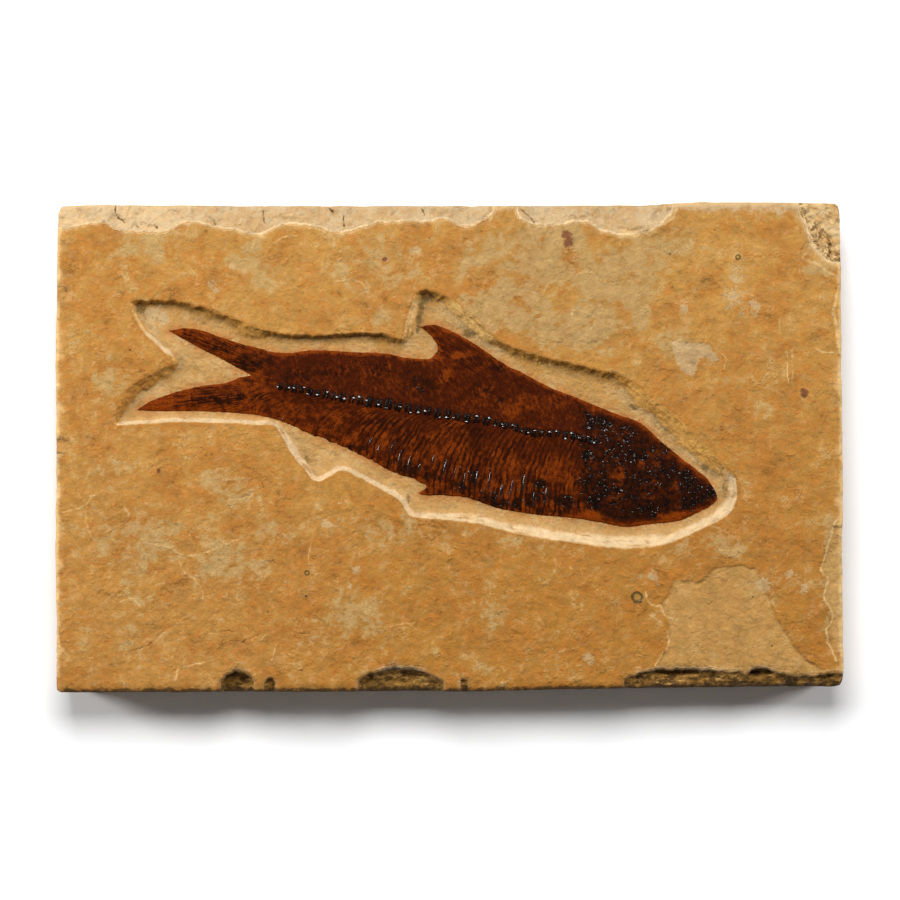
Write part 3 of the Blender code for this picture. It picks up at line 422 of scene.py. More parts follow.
class SlabSettings(bpy.types.PropertyGroup):
    """Sizes and colours of the stone."""

    pitch: length_property("Mesh pitch", "Spacing of the points on the face", 0.9)
    side_pitch: length_property("Side pitch", "Spacing of the rings of points down the sides", 0.9)
    ragged: length_property("Ragged edges", "How far broken and cut edges stray from the solid's", 0.26)
    dimples: length_property("Dimples", "Depth of the face's fine dimples", 0.03)
    ochre: color_property("Ochre", "Main colour of the face above the fish", srgb(203, 147, 68))
    golden: color_property("Golden", "Main colour of the face below the fish", srgb(191, 130, 47))
    khaki: color_property("Khaki", "Paler, greyer areas of the face", srgb(190, 158, 102))
    rust: color_property("Rust", "Deeper orange areas of the face", srgb(188, 117, 38))
    fresh: color_property("Fresh stone", "Freshly broken stone", srgb(230, 200, 154))
    chip_shade: color_property("Older breaks", "Duller parts of the broken stone", srgb(208, 170, 118))
    cream: color_property("Cream", "Lips of the cuts and breaks", srgb(252, 222, 174))
    bed: color_property("Bed", "Floor of the trench round the fish", srgb(212, 162, 90))
    bed_light: color_property("Lighter bed", "Paler patches of the trench's floor", srgb(232, 194, 136))
    # The shaded walls' golden colour is painted shade colour: the warm cast of shade and bounced light.
    wall: color_property("Trench wall", "Stained stone of the trench's shaded walls", srgb(230, 170, 80))
    cut: color_property("Cut stone", "Clean stone of the trench's pale walls", srgb(246, 212, 162))
    grime: color_property("Grime", "Dirt in the broken edges", srgb(54, 37, 16))


class FishSettings(bpy.types.PropertyGroup):
    """Sizes and colours of the fossil."""

    pitch: length_property("Mesh pitch", "Spacing of the points on the fish", 0.2)
    crown: length_property("Crown", "How far the body swells above its edge", 0.55)
    edge: length_property("Edge", "Thickness at the outline", 0.1)
    bone: color_property("Bone", "Main colour of bone and scale", srgb(72, 25, 4))
    amber: color_property("Amber", "Thin, translucent areas", srgb(140, 60, 9))
    umber: color_property("Umber", "Thicker, darker areas", srgb(40, 15, 4))
    black: color_property("Black bone", "Thick, glossy bone", srgb(16, 10, 6))


class StageSettings(bpy.types.PropertyGroup):
    """The studio."""

    lens: bpy.props.FloatProperty(
        name="Lens", description="Focal length", default=200.0, min=20.0, unit="CAMERA"
    )
    view_width: length_property("View width", "Width of the picture at the face of the slab", 180.0)
    key_power: power_property("Key light", "Power from above", 7.2)
    side_power: power_property("Side lights", "Power of each", 2.5)
    sky: bpy.props.FloatProperty(name="Sky", description="Strength of the even light all round", default=0.13)
    floor: color_property("Floor", "The pale floor", (0.9, 0.9, 0.9))


def clamp(value, low=0.0, high=1.0):
    return max(low, min(high, value))


def smoothstep(low, high, value):
    t = clamp((value - low) / (high - low))
    return t * t * (3.0 - 2.0 * t)


def rough(x, y, size, octaves=3, seed=0.0):
    """Fractal noise between about -1 and 1, with its largest bumps this many millimetres across."""
    return noise.fractal(Vector((x / size, y / size, seed)), 0.9, 2.1, octaves)


def smooth_line(points, spacing):
    """Points about this far apart on a Catmull-Rom curve through the given ones."""
    line = [Vector(point) for point in points]
    padded = [2 * line[0] - line[1], *line, 2 * line[-1] - line[-2]]
    curve = []
    for a, b, c, d in zip(padded, padded[1:], padded[2:], padded[3:]):
        steps = max(1, round((c - b).length / spacing))
        for step in range(steps):
            t = step / steps
            square, cube = 2 * a - 5 * b + 4 * c - d, 3 * b - a - 3 * c + d
            curve.append(0.5 * (2 * b + (c - a) * t + square * t**2 + cube * t**3))
    return [*curve, line[-1]]


class LineAlongX:
    """A smooth line that runs along X, looked up by X."""

    def __init__(self, points):
        self.points = smooth_line(points, 0.5)
        self.start, self.end = self.points[0].x, self.points[-1].x
        count = 400
        self.step = (self.end - self.start) / count
        self.table = []
        index = 0
        for i in range(count + 1):
            x = self.start + i * self.step
            while index < len(self.points) - 2 and self.points[index + 1].x < x:
                index += 1
            a, b = self.points[index], self.points[index + 1]
            self.table.append(a.y + (b.y - a.y) * clamp((x - a.x) / max(b.x - a.x, 1e-6)))

    def __call__(self, x):
        place = clamp((x - self.start) / self.step, 0.0, len(self.table) - 1.001)
        index = int(place)
        return self.table[index] + (self.table[index + 1] - self.table[index]) * (place - index)


CREST = LineAlongX(CREST_LINE)
BELLY = LineAlongX(BELLY_LINE)


def inside(polygon, x, y):
    """Whether this place is within a closed outline."""
    found = False
    for (x_1, y_1), (x_2, y_2) in zip(polygon, (*polygon[1:], polygon[0])):
        if (y_1 > y) != (y_2 > y) and x < x_1 + (x_2 - x_1) * (y - y_1) / (y_2 - y_1):
            found = not found
    return found


def outline_reach(outline, way):
    """How far a closed outline round the origin stands from it, this way."""
    far = way * 1000.0
    for start, end in zip(outline, (*outline[1:], outline[0])):
        hit = intersect_line_line_2d(Vector((0.0, 0.0)), far, Vector(start), Vector(end))
        if hit:
            return hit.length
    raise ValueError("The outline isn't closed round the origin.")


def solid_of(node):
    """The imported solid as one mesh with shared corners."""
    mesh = bmesh.new()
    mesh.from_mesh(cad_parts[node].data)
    bmesh.ops.remove_doubles(mesh, verts=mesh.verts, dist=MERGE_DISTANCE)
    return mesh


def lookup_tree(node):
    """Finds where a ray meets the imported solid."""
    mesh = solid_of(node)
    tree = BVHTree.FromBMesh(mesh)
    mesh.free()
    return tree


def flat_tree(points):
    """Finds the nearest of these points, all seen from above."""
    tree = KDTree(len(points))
    for index, point in enumerate(points):
        tree.insert(Vector((point[0], point[1], 0.0)), index)
    tree.balance()
    return tree


def distance_in(tree, x, y):
    return tree.find(Vector((x, y, 0.0)))[2]


def extruded(mesh, edges):
    """Extrudes edges in place and returns the new edges and the new points."""
    made = bmesh.ops.extrude_edge_only(mesh, edges=edges)["geom"]
    new_edges = [part for part in made if isinstance(part, bmesh.types.BMEdge)]
    return new_edges, [part for part in made if isinstance(part, bmesh.types.BMVert)]


def finish_piece(name, mesh, material, replaced=None):
    """Turns a closed bmesh into a piece that rides on the object's one body."""
    bmesh.ops.recalc_face_normals(mesh, faces=mesh.faces)
    data = bpy.data.meshes.new(name)
    mesh.to_mesh(data)
    mesh.free()
    data.shade_smooth()
    data.materials.append(material)
    piece = bpy.data.objects.new(name, data)
    bpy.context.scene.collection.objects.link(piece)
    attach(piece, "root")
    if replaced:
        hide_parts(replaced)
    return piece


class Finish:
    """A material under construction. Each call adds nodes and returns the socket that gives their result."""

    def __init__(self, name):
        self.material = bpy.data.materials.new(name)
        self.material.use_nodes = True
        self.nodes = self.material.node_tree.nodes
        self.links = self.material.node_tree.links
        self.shader = self.nodes["Principled BSDF"]
        self.place = self.nodes.new("ShaderNodeTexCoord").outputs["Object"]

    def feed(self, socket, value):
        if isinstance(value, bpy.types.NodeSocket):
            self.links.new(value, socket)
        elif socket.type == "RGBA" and len(value) == 3:
            socket.default_value = (*value, 1.0)
        else:
            socket.default_value = value

    def math(self, operation, first, second=0.0):
        node = self.nodes.new("ShaderNodeMath")
        node.operation = operation
        self.feed(node.inputs[0], first)
        self.feed(node.inputs[1], second)
        return node.outputs[0]

    def chained(self, operation, values):
        result = values[0]
        for value in values[1:]:
            result = self.math(operation, result, value)
        return result

    def add(self, *terms):
        return self.chained("ADD", terms)

    def times(self, *factors):
        return self.chained("MULTIPLY", factors)

    def largest(self, *values):
        return self.chained("MAXIMUM", values)

    def rest_of(self, share):
        return self.math("SUBTRACT", 1.0, share)

    def less_half(self, field):
        return self.math("SUBTRACT", field, 0.5)

    def band(self, value, low, high, bottom=0.0, top=1.0):
        """A soft step from bottom to top as the value goes from low to high."""
        node = self.nodes.new("ShaderNodeMapRange")
        node.interpolation_type = "SMOOTHSTEP"
        for socket, amount in zip(node.inputs, (value, low, high, bottom, top)):
            self.feed(socket, amount)
        return node.outputs[0]

    def line_where(self, field, level, core, fade, strength=1.0):
        """A line where the field has this level, full as far as its core and gone past its fade."""
        away = self.math("ABSOLUTE", self.math("SUBTRACT", field, level))
        return self.band(away, core, fade, strength, 0.0)

    def mix(self, factor, first, second, blend="MIX"):
        node = self.nodes.new("ShaderNodeMix")
        node.data_type = "RGBA"
        node.blend_type = blend
        node.clamp_factor = True
        self.feed(node.inputs["Factor"], factor)
        self.feed(node.inputs[6], first)
        self.feed(node.inputs[7], second)
        return node.outputs[2]

    def layered(self, base, *layers):
        """A base colour under layers, each of them a colour and the shares that multiply to its strength."""
        for tint, *shares in layers:
            base = self.mix(self.times(*shares), base, tint)
        return base

    def grey(self, value):
        node = self.nodes.new("ShaderNodeCombineColor")
        for socket in node.inputs:
            self.feed(socket, value)
        return node.outputs[0]

    def combined(self, x, y):
        node = self.nodes.new("ShaderNodeCombineXYZ")
        self.feed(node.inputs["X"], x)
        self.feed(node.inputs["Y"], y)
        return node.outputs[0]

    def stretched(self, stretch=(1.0, 1.0, 1.0), turn=0.0, shift=(0.0, 0.0, 0.0)):
        """Coordinates in which a texture's features are this much longer along axes turned by this angle."""
        node = self.nodes.new("ShaderNodeMapping")
        node.vector_type = "TEXTURE"
        self.feed(node.inputs["Vector"], self.place)
        self.feed(node.inputs["Location"], shift)
        self.feed(node.inputs["Rotation"], (0.0, 0.0, turn))
        self.feed(node.inputs["Scale"], stretch)
        return node.outputs[0]

    def noise(self, size, detail=3.0, roughness=0.55, distortion=0.0, place=None):
        """Noise whose largest features are this many millimetres across."""
        node = self.nodes.new("ShaderNodeTexNoise")
        self.feed(node.inputs["Vector"], place or self.place)
        self.feed(node.inputs["Scale"], 1.0 / (size * MM))
        self.feed(node.inputs["Detail"], detail)
        self.feed(node.inputs["Roughness"], roughness)
        self.feed(node.inputs["Distortion"], distortion)
        return node.outputs["Fac"]

    def distance_to(self, point):
        """Distance in millimetres from a vertical line through this point of the face."""
        flat = self.nodes.new("ShaderNodeVectorMath")
        flat.operation = "MULTIPLY"
        self.feed(flat.inputs[0], self.place)
        self.feed(flat.inputs[1], (1.0, 1.0, 0.0))
        node = self.nodes.new("ShaderNodeVectorMath")
        node.operation = "DISTANCE"
        self.feed(node.inputs[0], flat.outputs[0])
        self.feed(node.inputs[1], (point[0] * MM, point[1] * MM, 0.0))
        return self.times(node.outputs["Value"], 1.0 / MM)

    def place_along(self, axis):
        """The place along this axis, in millimetres."""
        split = self.nodes.new("ShaderNodeSeparateXYZ")
        self.feed(split.inputs[0], self.place)
        return self.times(split.outputs[axis], 1.0 / MM)

    def attribute(self, name):
        """The three channels that a piece's points carry under this name."""
        node = self.nodes.new("ShaderNodeAttribute")
        node.attribute_name = name
        split = self.nodes.new("ShaderNodeSeparateColor")
        self.feed(split.inputs[0], node.outputs["Color"])
        return split.outputs

    def bump(self, height, millimetres, under=None):
        node = self.nodes.new("ShaderNodeBump")
        self.feed(node.inputs["Distance"], millimetres * MM)
        self.feed(node.inputs["Strength"], 1.0)
        self.feed(node.inputs["Height"], height)
        if under:
            self.feed(node.inputs["Normal"], under)
        return node.outputs[0]

    def set(self, **values):
        for name, value in values.items():
            self.feed(self.shader.inputs[name.replace("_", " ").title().replace("Ior", "IOR")], value)
        return self.material


def point_channels(mesh, name):
    return mesh.verts.layers.float_color.new(name)


def area_share(areas, x, y, fraying):
    """The strongest of these soft-edged areas at this point."""
    total = 0.0
    for (centre_x, centre_y), radius_x, radius_y, strength in areas:
        away_x, away_y = abs(x - centre_x) / radius_x, abs(y - centre_y) / radius_y
        if away_x < 1.6 and away_y < 1.6:
            total = max(total, strength * smoothstep(1.3, 0.35, math.hypot(away_x, away_y) + fraying))
    return total


class Strokes:
    """Drawn lines on a surface: gives the strength of the nearest one, which fades over its half width.

    The lines stray to either side by about as much as they are told to waver, in millimetres.
    """

    def __init__(self, lines, waver=0.0):
        self.waver = waver
        self.samples = []
        for half_width, strength, points in lines:
            for point in smooth_line(points, 0.12):
                self.samples.append((point, half_width, strength))
        self.tree = flat_tree([point for point, _, _ in self.samples])

    def __call__(self, x, y):
        stray_x, stray_y = self.waver * rough(x, y, 1.2, 3, 80.0), self.waver * rough(x, y, 1.2, 3, 83.0)
        _, index, distance = self.tree.find(Vector((x + stray_x, y + stray_y, 0.0)))
        _, half_width, strength = self.samples[index]
        uneven = 1.0 + 2.0 * self.waver * noise.noise(Vector((index * 0.11, 3.0, 5.0)))
        return clamp(strength * uneven) * smoothstep(half_width * uneven, half_width * 0.2 * uneven, distance)


class Trench:
    """The trench round the fish: for a place on the face, how deep it is there and how its wall looks."""

    def __init__(self):
        self.rim = smooth_line([*TRENCH_RIM, TRENCH_RIM[0]], 0.12)[:-1]
        self.tree = flat_tree(self.rim)

    def inward(self, x, y):
        """Distance in from the rim, below 0 outside it, and the index of the nearest point of the rim."""
        _, index, distance = self.tree.find(Vector((x, y, 0.0)))
        before, near = self.rim[index - 3], self.rim[index]
        after = self.rim[(index + 3) % len(self.rim)]
        along, away = after - before, Vector((x - near.x, y - near.y))
        side = along.x * away.y - along.y * away.x
        return (distance if side < 0.0 else -distance), index

    def __call__(self, x, y):
        """Distance in from the rim, share of full depth, and the wall's paleness, streaks and foot."""
        ragged = 0.36 - 0.16 * smoothstep(0.26, 0.4, self.rim[self.inward(x, y)[1]][3])
        stray_x = ragged * (rough(x, y, 2.0, 3, 3.7) + 0.35 * rough(x, y, 0.7, 2, 13.7))
        stray_y = ragged * (rough(x, y, 2.0, 3, 8.1) + 0.35 * rough(x, y, 0.7, 2, 18.1))
        distance, index = self.inward(x + stray_x, y + stray_y)
        _, _, run, pale = self.rim[index]
        run *= 1.0 + 0.25 * rough(x, y, 4.0, 2, 23.0)
        run *= 1.0 - 0.4 * smoothstep(0.14, 0.04, pale) + 0.3 * smoothstep(0.8, 0.9, pale)
        share = clamp(distance / run)
        slope = smoothstep(0.24, 0.3, pale) * smoothstep(0.7, 0.6, pale)
        streak = noise.noise(Vector((index * 0.02, distance * 2.2, 6.0)))
        streak += 0.5 * noise.noise(Vector((index * 0.04, distance * 5.0, 2.0)))
        steepness = 1.25 + 0.2 * smoothstep(0.6, 0.9, pale) - 0.2 * slope
        foot = smoothstep(run + 2.2, run * 0.7, distance)
        return distance, 1.0 - (1.0 - share) ** steepness, pale, streak, foot


class SlabFace:
    """Where the stone's face is, and what kind of stone shows there."""

    def __init__(self, settings):
        self.tree = lookup_tree("limestone_slab")
        self.ragged = settings.ragged / MM
        self.dimples = settings.dimples / MM
        self.outline = fish_outline_lookup()
        self.cracks = Strokes(CRACKS, 0.22)
        self.pale_edges = Strokes(PALE_EDGES, 0.24)
        self.trench = Trench()

    def reach(self, direction, height):
        """How far the slab's side stands from its middle, this way, at this height."""
        start = Vector((direction.x, direction.y, 0.0)) * 0.2
        start.z = height * MM
        hit = self.tree.ray_cast(start, Vector((-direction.x, -direction.y, 0.0)))[0]
        return Vector((hit.x, hit.y)).length / MM

    def solid_height(self, x, y):
        """Height and upward direction of the solid's face here, with the ragged edge of a real break.

        Places on or beyond the solid's worn arris take those of the face just inside it.
        """
        x, y = clamp(x, -ARRIS_X, ARRIS_X), clamp(y, -ARRIS_Y, ARRIS_Y)
        stray_x = (rough(x, y, 1.9, 3, 3.7) + 1.6 * rough(x, y, 6.5, 2, 27.0)) * self.ragged
        stray_y = (rough(x, y, 1.9, 3, 8.1) + 1.6 * rough(x, y, 6.5, 2, 28.0)) * self.ragged
        for share in (1.0, 0.0):
            start = Vector(((x + stray_x * share) * MM, (y + stray_y * share) * MM, SLAB_HIGH.z + 0.01))
            hit, normal, *_ = self.tree.ray_cast(start, Vector((0.0, 0.0, -1.0)))
            if hit and hit.z / MM > DEEPEST_CHIP:
                return hit.z / MM, normal
        pulled = 1.0 - 0.35 / math.hypot(x, y)
        return self.solid_height(x * pulled, y * pulled)

    def kind(self, height, upright):
        """Depth of broken stone, and share of lost leaf, at a point of the face outside the trench."""
        depth = SLAB_TOP - height
        leaf = float(0.12 < depth < 0.6 and upright > 0.98)
        return (0.0 if leaf else clamp(depth)), leaf

    def granular(self, x, y):
        """Share of the crumbling stone in the corner above the fish's head."""
        return smoothstep(68.5, 71.0, x + 0.4 * (y - 40.0)) * smoothstep(33.0, 36.0, y)

    def pitted(self, x, y):
        """Share of dark pits in the crumbling stone: they follow a band across the corner."""
        across = abs(0.81 * (x - 73.4) + 0.585 * (y - 42.6) + 0.8 * rough(x, y, 3.0, 2, 47.0))
        return self.granular(x, y) * (0.5 + 0.5 * smoothstep(2.2, 1.0, across))

    def skin(self, x, y, leaf):
        """What the real stone adds to the plain face, in millimetres."""
        broad = 0.10 * rough(x, y, 17.0, 2, 1.0)
        flakes = rough(x, y, 9.0, 4, 12.0) * 5.0
        flake_step = (math.floor(flakes) + smoothstep(0.8, 1.0, flakes % 1.0)) * 0.035
        dimpled = broad + self.dimples * rough(x, y, 1.4, 2, 2.5)
        return dimpled + flake_step * smoothstep(0.1, 0.4, rough(x, y, 15.0, 2, 20.0)) * (1.0 - 0.6 * leaf)

    def floor(self, x, y, to_fish):
        """Tool marks and lumps on the floor of the trench, in millimetres. They fade out beside the fish."""
        lumps = 0.12 + 0.2 * smoothstep(-30.0, -42.0, x)
        marks = lumps * rough(x, y, 2.6, 3, 5.0) + 0.09 * rough(x, y, 0.9, 3, 2.0)
        return marks * smoothstep(0.2, 1.6, to_fish) - 0.05

    def wall(self, x, y, pale, streak):
        """Tool marks on the walls of the trench, in millimetres: rougher where they are shaded."""
        uneven = 0.3 * smoothstep(0.3, 0.05, pale) + 0.05
        return (0.05 + 0.04 * smoothstep(0.7, 0.9, pale)) * streak + uneven * rough(x, y, 1.2, 4, 6.0)

    def broken(self, x, y, height):
        """Relief of the chipped edges: soft lumps, with beds in the south and east, or crumbs in a corner."""
        granular = self.granular(x, y)
        bedded = max(smoothstep(16.0, 30.0, x), smoothstep(-40.0, -44.0, y)) * (1.0 - granular)
        beds = 0.45
        level = height + 0.35 * rough(x, y, 5.0, 3, 9.0)
        terrace = (math.floor(level / beds) + smoothstep(0.6, 0.95, level / beds % 1.0)) * beds - height
        pits = 3.0 * self.pitted(x, y) - 1.4
        crumbs = 0.6 * rough(x, y, 1.5, 3, 4.0) + pits * min(0.0, rough(x, y, 1.1, 2, 24.0))
        soft = 1.0 * rough(x, y, 4.2, 4, 7.0) + 0.26 * rough(x, y, 1.3, 2, 17.0)
        hollow = sum(
            depth * smoothstep(1.2, 0.6, math.hypot((x - place[0]) / radius_x, (y - place[1]) / radius_y))
            for place, radius_x, radius_y, depth in HOLLOWS
        )
        return bedded * (0.75 * terrace - 0.15) + (1.0 - granular) * soft + granular * crumbs - hollow

    def at(self, x, y, to_edge):
        """Height of the stone, and what the material reads: kinds, trench, cutting and stain."""
        inward, deep, pale, streak, foot = self.trench(x, y)
        to_fish = distance_in(self.outline, x, y)
        worn = smoothstep(0.9, 0.0, to_edge) ** 2 * (0.45 + 0.2 * rough(x, y, 3.0, 2, 61.0))
        if inward > 0.0:
            bed = smoothstep(0.84, 1.0, deep + 0.12 * rough(x, y, 1.6, 3, 90.0))
            wall = smoothstep(0.0, 0.12, inward) * (1.0 - bed)
            relief = bed * self.floor(x, y, to_fish)
            relief += (1.0 - bed) * self.wall(x, y, pale, streak) * smoothstep(0.0, 0.3, inward)
            height = SLAB_TOP - TRENCH_DEPTH * deep + relief + self.skin(x, y, 0.0) * (1.0 - deep)
            stain = bed * smoothstep(1.6, 0.1, to_fish)
            # Dirt, and painted shade, in the corners of the trench.
            dirt_and_shade = area_share(DIRT_AND_SHADE_AREAS, x, y, 0.55 * rough(x, y, 1.2, 4, 53.0))
            return height, (0.0, bed, 0.0), (wall, pale, foot), (deep, 0.5 + 0.5 * streak, dirt_and_shade), stain
        if inward > -RIM_MARGIN:
            rim = smoothstep(-0.5, -0.05, inward)
            return SLAB_TOP + self.skin(x, y, 0.0), (0.0, 0.0, 0.0), (0.0, pale, rim), (0.0, 0.5, 0.0), 0.0
        height, up = self.solid_height(x, y)
        cut, leaf = self.kind(height, up.z)
        relief = self.broken(x, y, height) if cut > 0.1 else self.skin(x, y, leaf)
        return height + relief - worn, (cut, 0.0, leaf), (0.0, 0.0, 0.0), (0.0, 0.5, self.pitted(x, y)), 0.0


def fish_outline_lookup():
    """Finds the nearest point of the fish's outline, from points along the solid's lower edges."""
    mesh = solid_of("fossil_fish")
    points = []
    for edge in mesh.edges:
        downs = sorted(face.normal.z for face in edge.link_faces)
        low = max(vert.co.z for vert in edge.verts) < FISH_LOW.z + 1e-5
        if low and len(downs) == 2 and downs[0] < -0.99 < downs[1]:
            start, end = (vert.co / MM for vert in edge.verts)
            count = max(1, round((end - start).length / 0.1))
            points.extend(start.lerp(end, i / count) for i in range(count))
    mesh.free()
    return flat_tree(points)


def fitted_grid(settings):
    """A grid over the slab's face, whose border lies on the slab's upper edge.

    Each point also carries its distance from the border and how far out it stands from the slab's middle.
    """
    half_x, half_y = (SLAB_HIGH.x - SLAB_LOW.x) / 2 / MM, (SLAB_HIGH.y - SLAB_LOW.y) / 2 / MM
    pitch = settings.pitch / MM
    mesh = bmesh.new()
    bmesh.ops.create_grid(
        mesh, x_segments=round(2 * half_x / pitch), y_segments=round(2 * half_y / pitch), size=1.0
    )
    to_edge, top_reach = (mesh.verts.layers.float.new(name) for name in ("to_edge", "top_reach"))
    border_start = 0.92
    for vert in mesh.verts:
        share = max(abs(vert.co.x), abs(vert.co.y))
        vert[to_edge] = min((1.0 - abs(vert.co.x)) * half_x, (1.0 - abs(vert.co.y)) * half_y)
        place = Vector((vert.co.x * half_x, vert.co.y * half_y))
        if share > border_start:
            border = place / share
            uneven = 0.12 * rough(border.x, border.y, 4.0, 3, 70.0)
            scale = (outline_reach(TOP_OUTLINE, border.normalized()) + uneven) / border.length
            place *= 1.0 + (scale - 1.0) * smoothstep(border_start, 1.0, share)
        vert.co = (place.x * MM, place.y * MM, 0.0)
        vert[top_reach] = place.length
    return mesh


def refine_breaks(mesh, face, step, marked_reach):
    """Halves the grid where the stone's face steps by this much, near the drawn marks and in the trench."""
    chosen, levels = {}, {}
    to_edge = mesh.verts.layers.float["to_edge"]
    for vert in mesh.verts:
        x, y = vert.co.x / MM, vert.co.y / MM
        inward, deep, *_ = face.trench(x, y)
        level = SLAB_TOP - TRENCH_DEPTH * deep if inward > -RIM_MARGIN else face.solid_height(x, y)[0]
        marked = min(distance_in(lines.tree, x, y) for lines in (face.cracks, face.pale_edges)) < marked_reach
        marked = marked or vert[to_edge] < marked_reach or abs(inward) < marked_reach * 0.5
        levels[vert] = (level, marked, inside(PALE_FLAKE, x, y))
    for quad in mesh.faces:
        corners = [levels[vert] for vert in quad.verts]
        heights = [corner[0] for corner in corners]
        on_flake_edge = len({corner[2] for corner in corners}) == 2
        if max(heights) - min(heights) > step or on_flake_edge or any(corner[1] for corner in corners):
            chosen.update(dict.fromkeys(quad.edges))
    bmesh.ops.subdivide_edges(mesh, edges=list(chosen), cuts=1, use_grid_fill=True)


def breaks_in(mesh, noted):
    """For each point near the slab's border, how it lies to the edge of a chip.

    The value is 0.5 on the edge, 0 from 1.5 mm outside the chip on, and 1 from as far inside it.
    """
    near = [vert for vert in mesh.verts if abs(vert.co.x) > 64.0 * MM or abs(vert.co.y) > 38.0 * MM]
    sides = {True: [], False: []}
    for vert in near:
        sides[noted[vert][1][0] > 0.1].append(vert)
    trees = {broken: flat_tree([vert.co for vert in verts]) for broken, verts in sides.items()}
    found = {}
    for broken, verts in sides.items():
        for vert in verts:
            others = trees[not broken].find_n(Vector((vert.co.x, vert.co.y, 0.0)), 4)
            away = sum(distance for _, _, distance in others) / len(others) / MM
            found[vert] = clamp(0.5 + (away if broken else -away) / 3.0)
    return found


def shape_face(mesh, face):
    """Lifts the grid to the stone's surface and notes at each point what kind of stone it is."""
    kinds_layer, tints_layer = point_channels(mesh, "kinds"), point_channels(mesh, "tints")
    marks_layer, trench_layer = point_channels(mesh, "marks"), point_channels(mesh, "trench")
    cutting_layer = point_channels(mesh, "cutting")
    to_edge = mesh.verts.layers.float["to_edge"]
    noted = {vert: face.at(vert.co.x / MM, vert.co.y / MM, vert[to_edge]) for vert in mesh.verts}
    breaks = breaks_in(mesh, noted)
    for vert in mesh.verts:
        x, y = vert.co.x / MM, vert.co.y / MM
        height, kinds, trench, cutting, stain = noted[vert]
        stray_x, stray_y = 0.3 * rough(x, y, 1.4, 2, 40.0), 0.3 * rough(x, y, 1.4, 2, 44.0)
        flake = float(inside(PALE_FLAKE, x + stray_x, y + stray_y))
        crack, pale = face.cracks(x, y), face.pale_edges(x, y)
        broken = breaks.get(vert, 0.0)
        arris = smoothstep(1.1, 0.2, vert[to_edge] + 0.5 * rough(x, y, 2.2, 3, 64.0))
        # Along the lower edge, which faces away from the key light, the worn arris is painted as a dark crack
        # with a shallow groove: painted shade.
        if y < -46.0:
            seam = (0.9 + 0.7 * rough(x, y, 1.2, 3, 77.0)) * arris
            crack = max(crack, seam * smoothstep(78.0, 77.2, abs(x)))
        # Along the other edges the worn arris is painted pale: a painted highlight where the lights graze it.
        elif broken < 0.5:
            pale = max(pale, (0.3 if y > 46.5 else 1.0) * arris)
        thinned = 0.12 * smoothstep(0.1, 0.45, broken) if broken < 0.5 else 0.0
        height -= thinned + 0.06 * flake + 0.3 * crack - 0.08 * pale
        vert.co.z = min(height, SLAB_TOP + HIGHEST_LIP) * MM
        khaki = area_share(KHAKI_AREAS, x, y, 0.35 * rough(x, y, 7.0, 3, 30.0))
        vert[kinds_layer] = (broken, kinds[1], kinds[2], 1.0)
        vert[tints_layer] = (khaki, stain, flake, 1.0)
        vert[marks_layer] = (crack, pale, 1.0, 1.0)
        vert[trench_layer] = (*trench, 1.0)
        vert[cutting_layer] = (*cutting, 1.0)
    lips = [vert for vert, broken in breaks.items() if 0.3 < broken < 0.7]
    for _ in range(2):
        bmesh.ops.smooth_vert(mesh, verts=lips, factor=0.5, use_axis_z=True)


def drop_sides(mesh, face, settings):
    """Extrudes the grid's border down to the back face in rings, each on the solid's side."""
    rings = round(SLAB_TOP / (settings.side_pitch / MM))
    kinds_layer = mesh.verts.layers.float_color["kinds"]
    marks_layer = mesh.verts.layers.float_color["marks"]
    top_reach = mesh.verts.layers.float["top_reach"]
    border = [edge for edge in mesh.edges if edge.is_boundary]
    for ring in range(1, rings + 1):
        border, corners = extruded(mesh, border)
        for vert in corners:
            height = vert.co.z / MM * (rings - ring) / (rings - ring + 1)
            way = Vector((vert.co.x, vert.co.y)).normalized()
            lookup = clamp(height, 0.02, SLAB_TOP - ARRIS_DEPTH)
            bedding = 0.14 * noise.noise(Vector((way.x * 3.0, way.y * 3.0, height * 1.7)))
            grain = 0.07 * noise.noise(Vector((way.x * 90.0, way.y * 90.0, height * 1.4)))
            out = face.reach(way, lookup) + (bedding + grain) * smoothstep(0.0, 0.8, height)
            upper = vert[top_reach] - 0.05 + bedding + grain
            out += (upper - out) * smoothstep(6.0, 12.4, height)
            out = min(out, vert[top_reach] - 0.04) * MM
            vert.co = (way.x * out, way.y * out, height * MM)
            vert[kinds_layer] = (1.0, 0.0, 0.0, 1.0)
            vert[marks_layer] = (0.0, 0.0, 0.0, 1.0)
    bmesh.ops.contextual_create(mesh, geom=border)


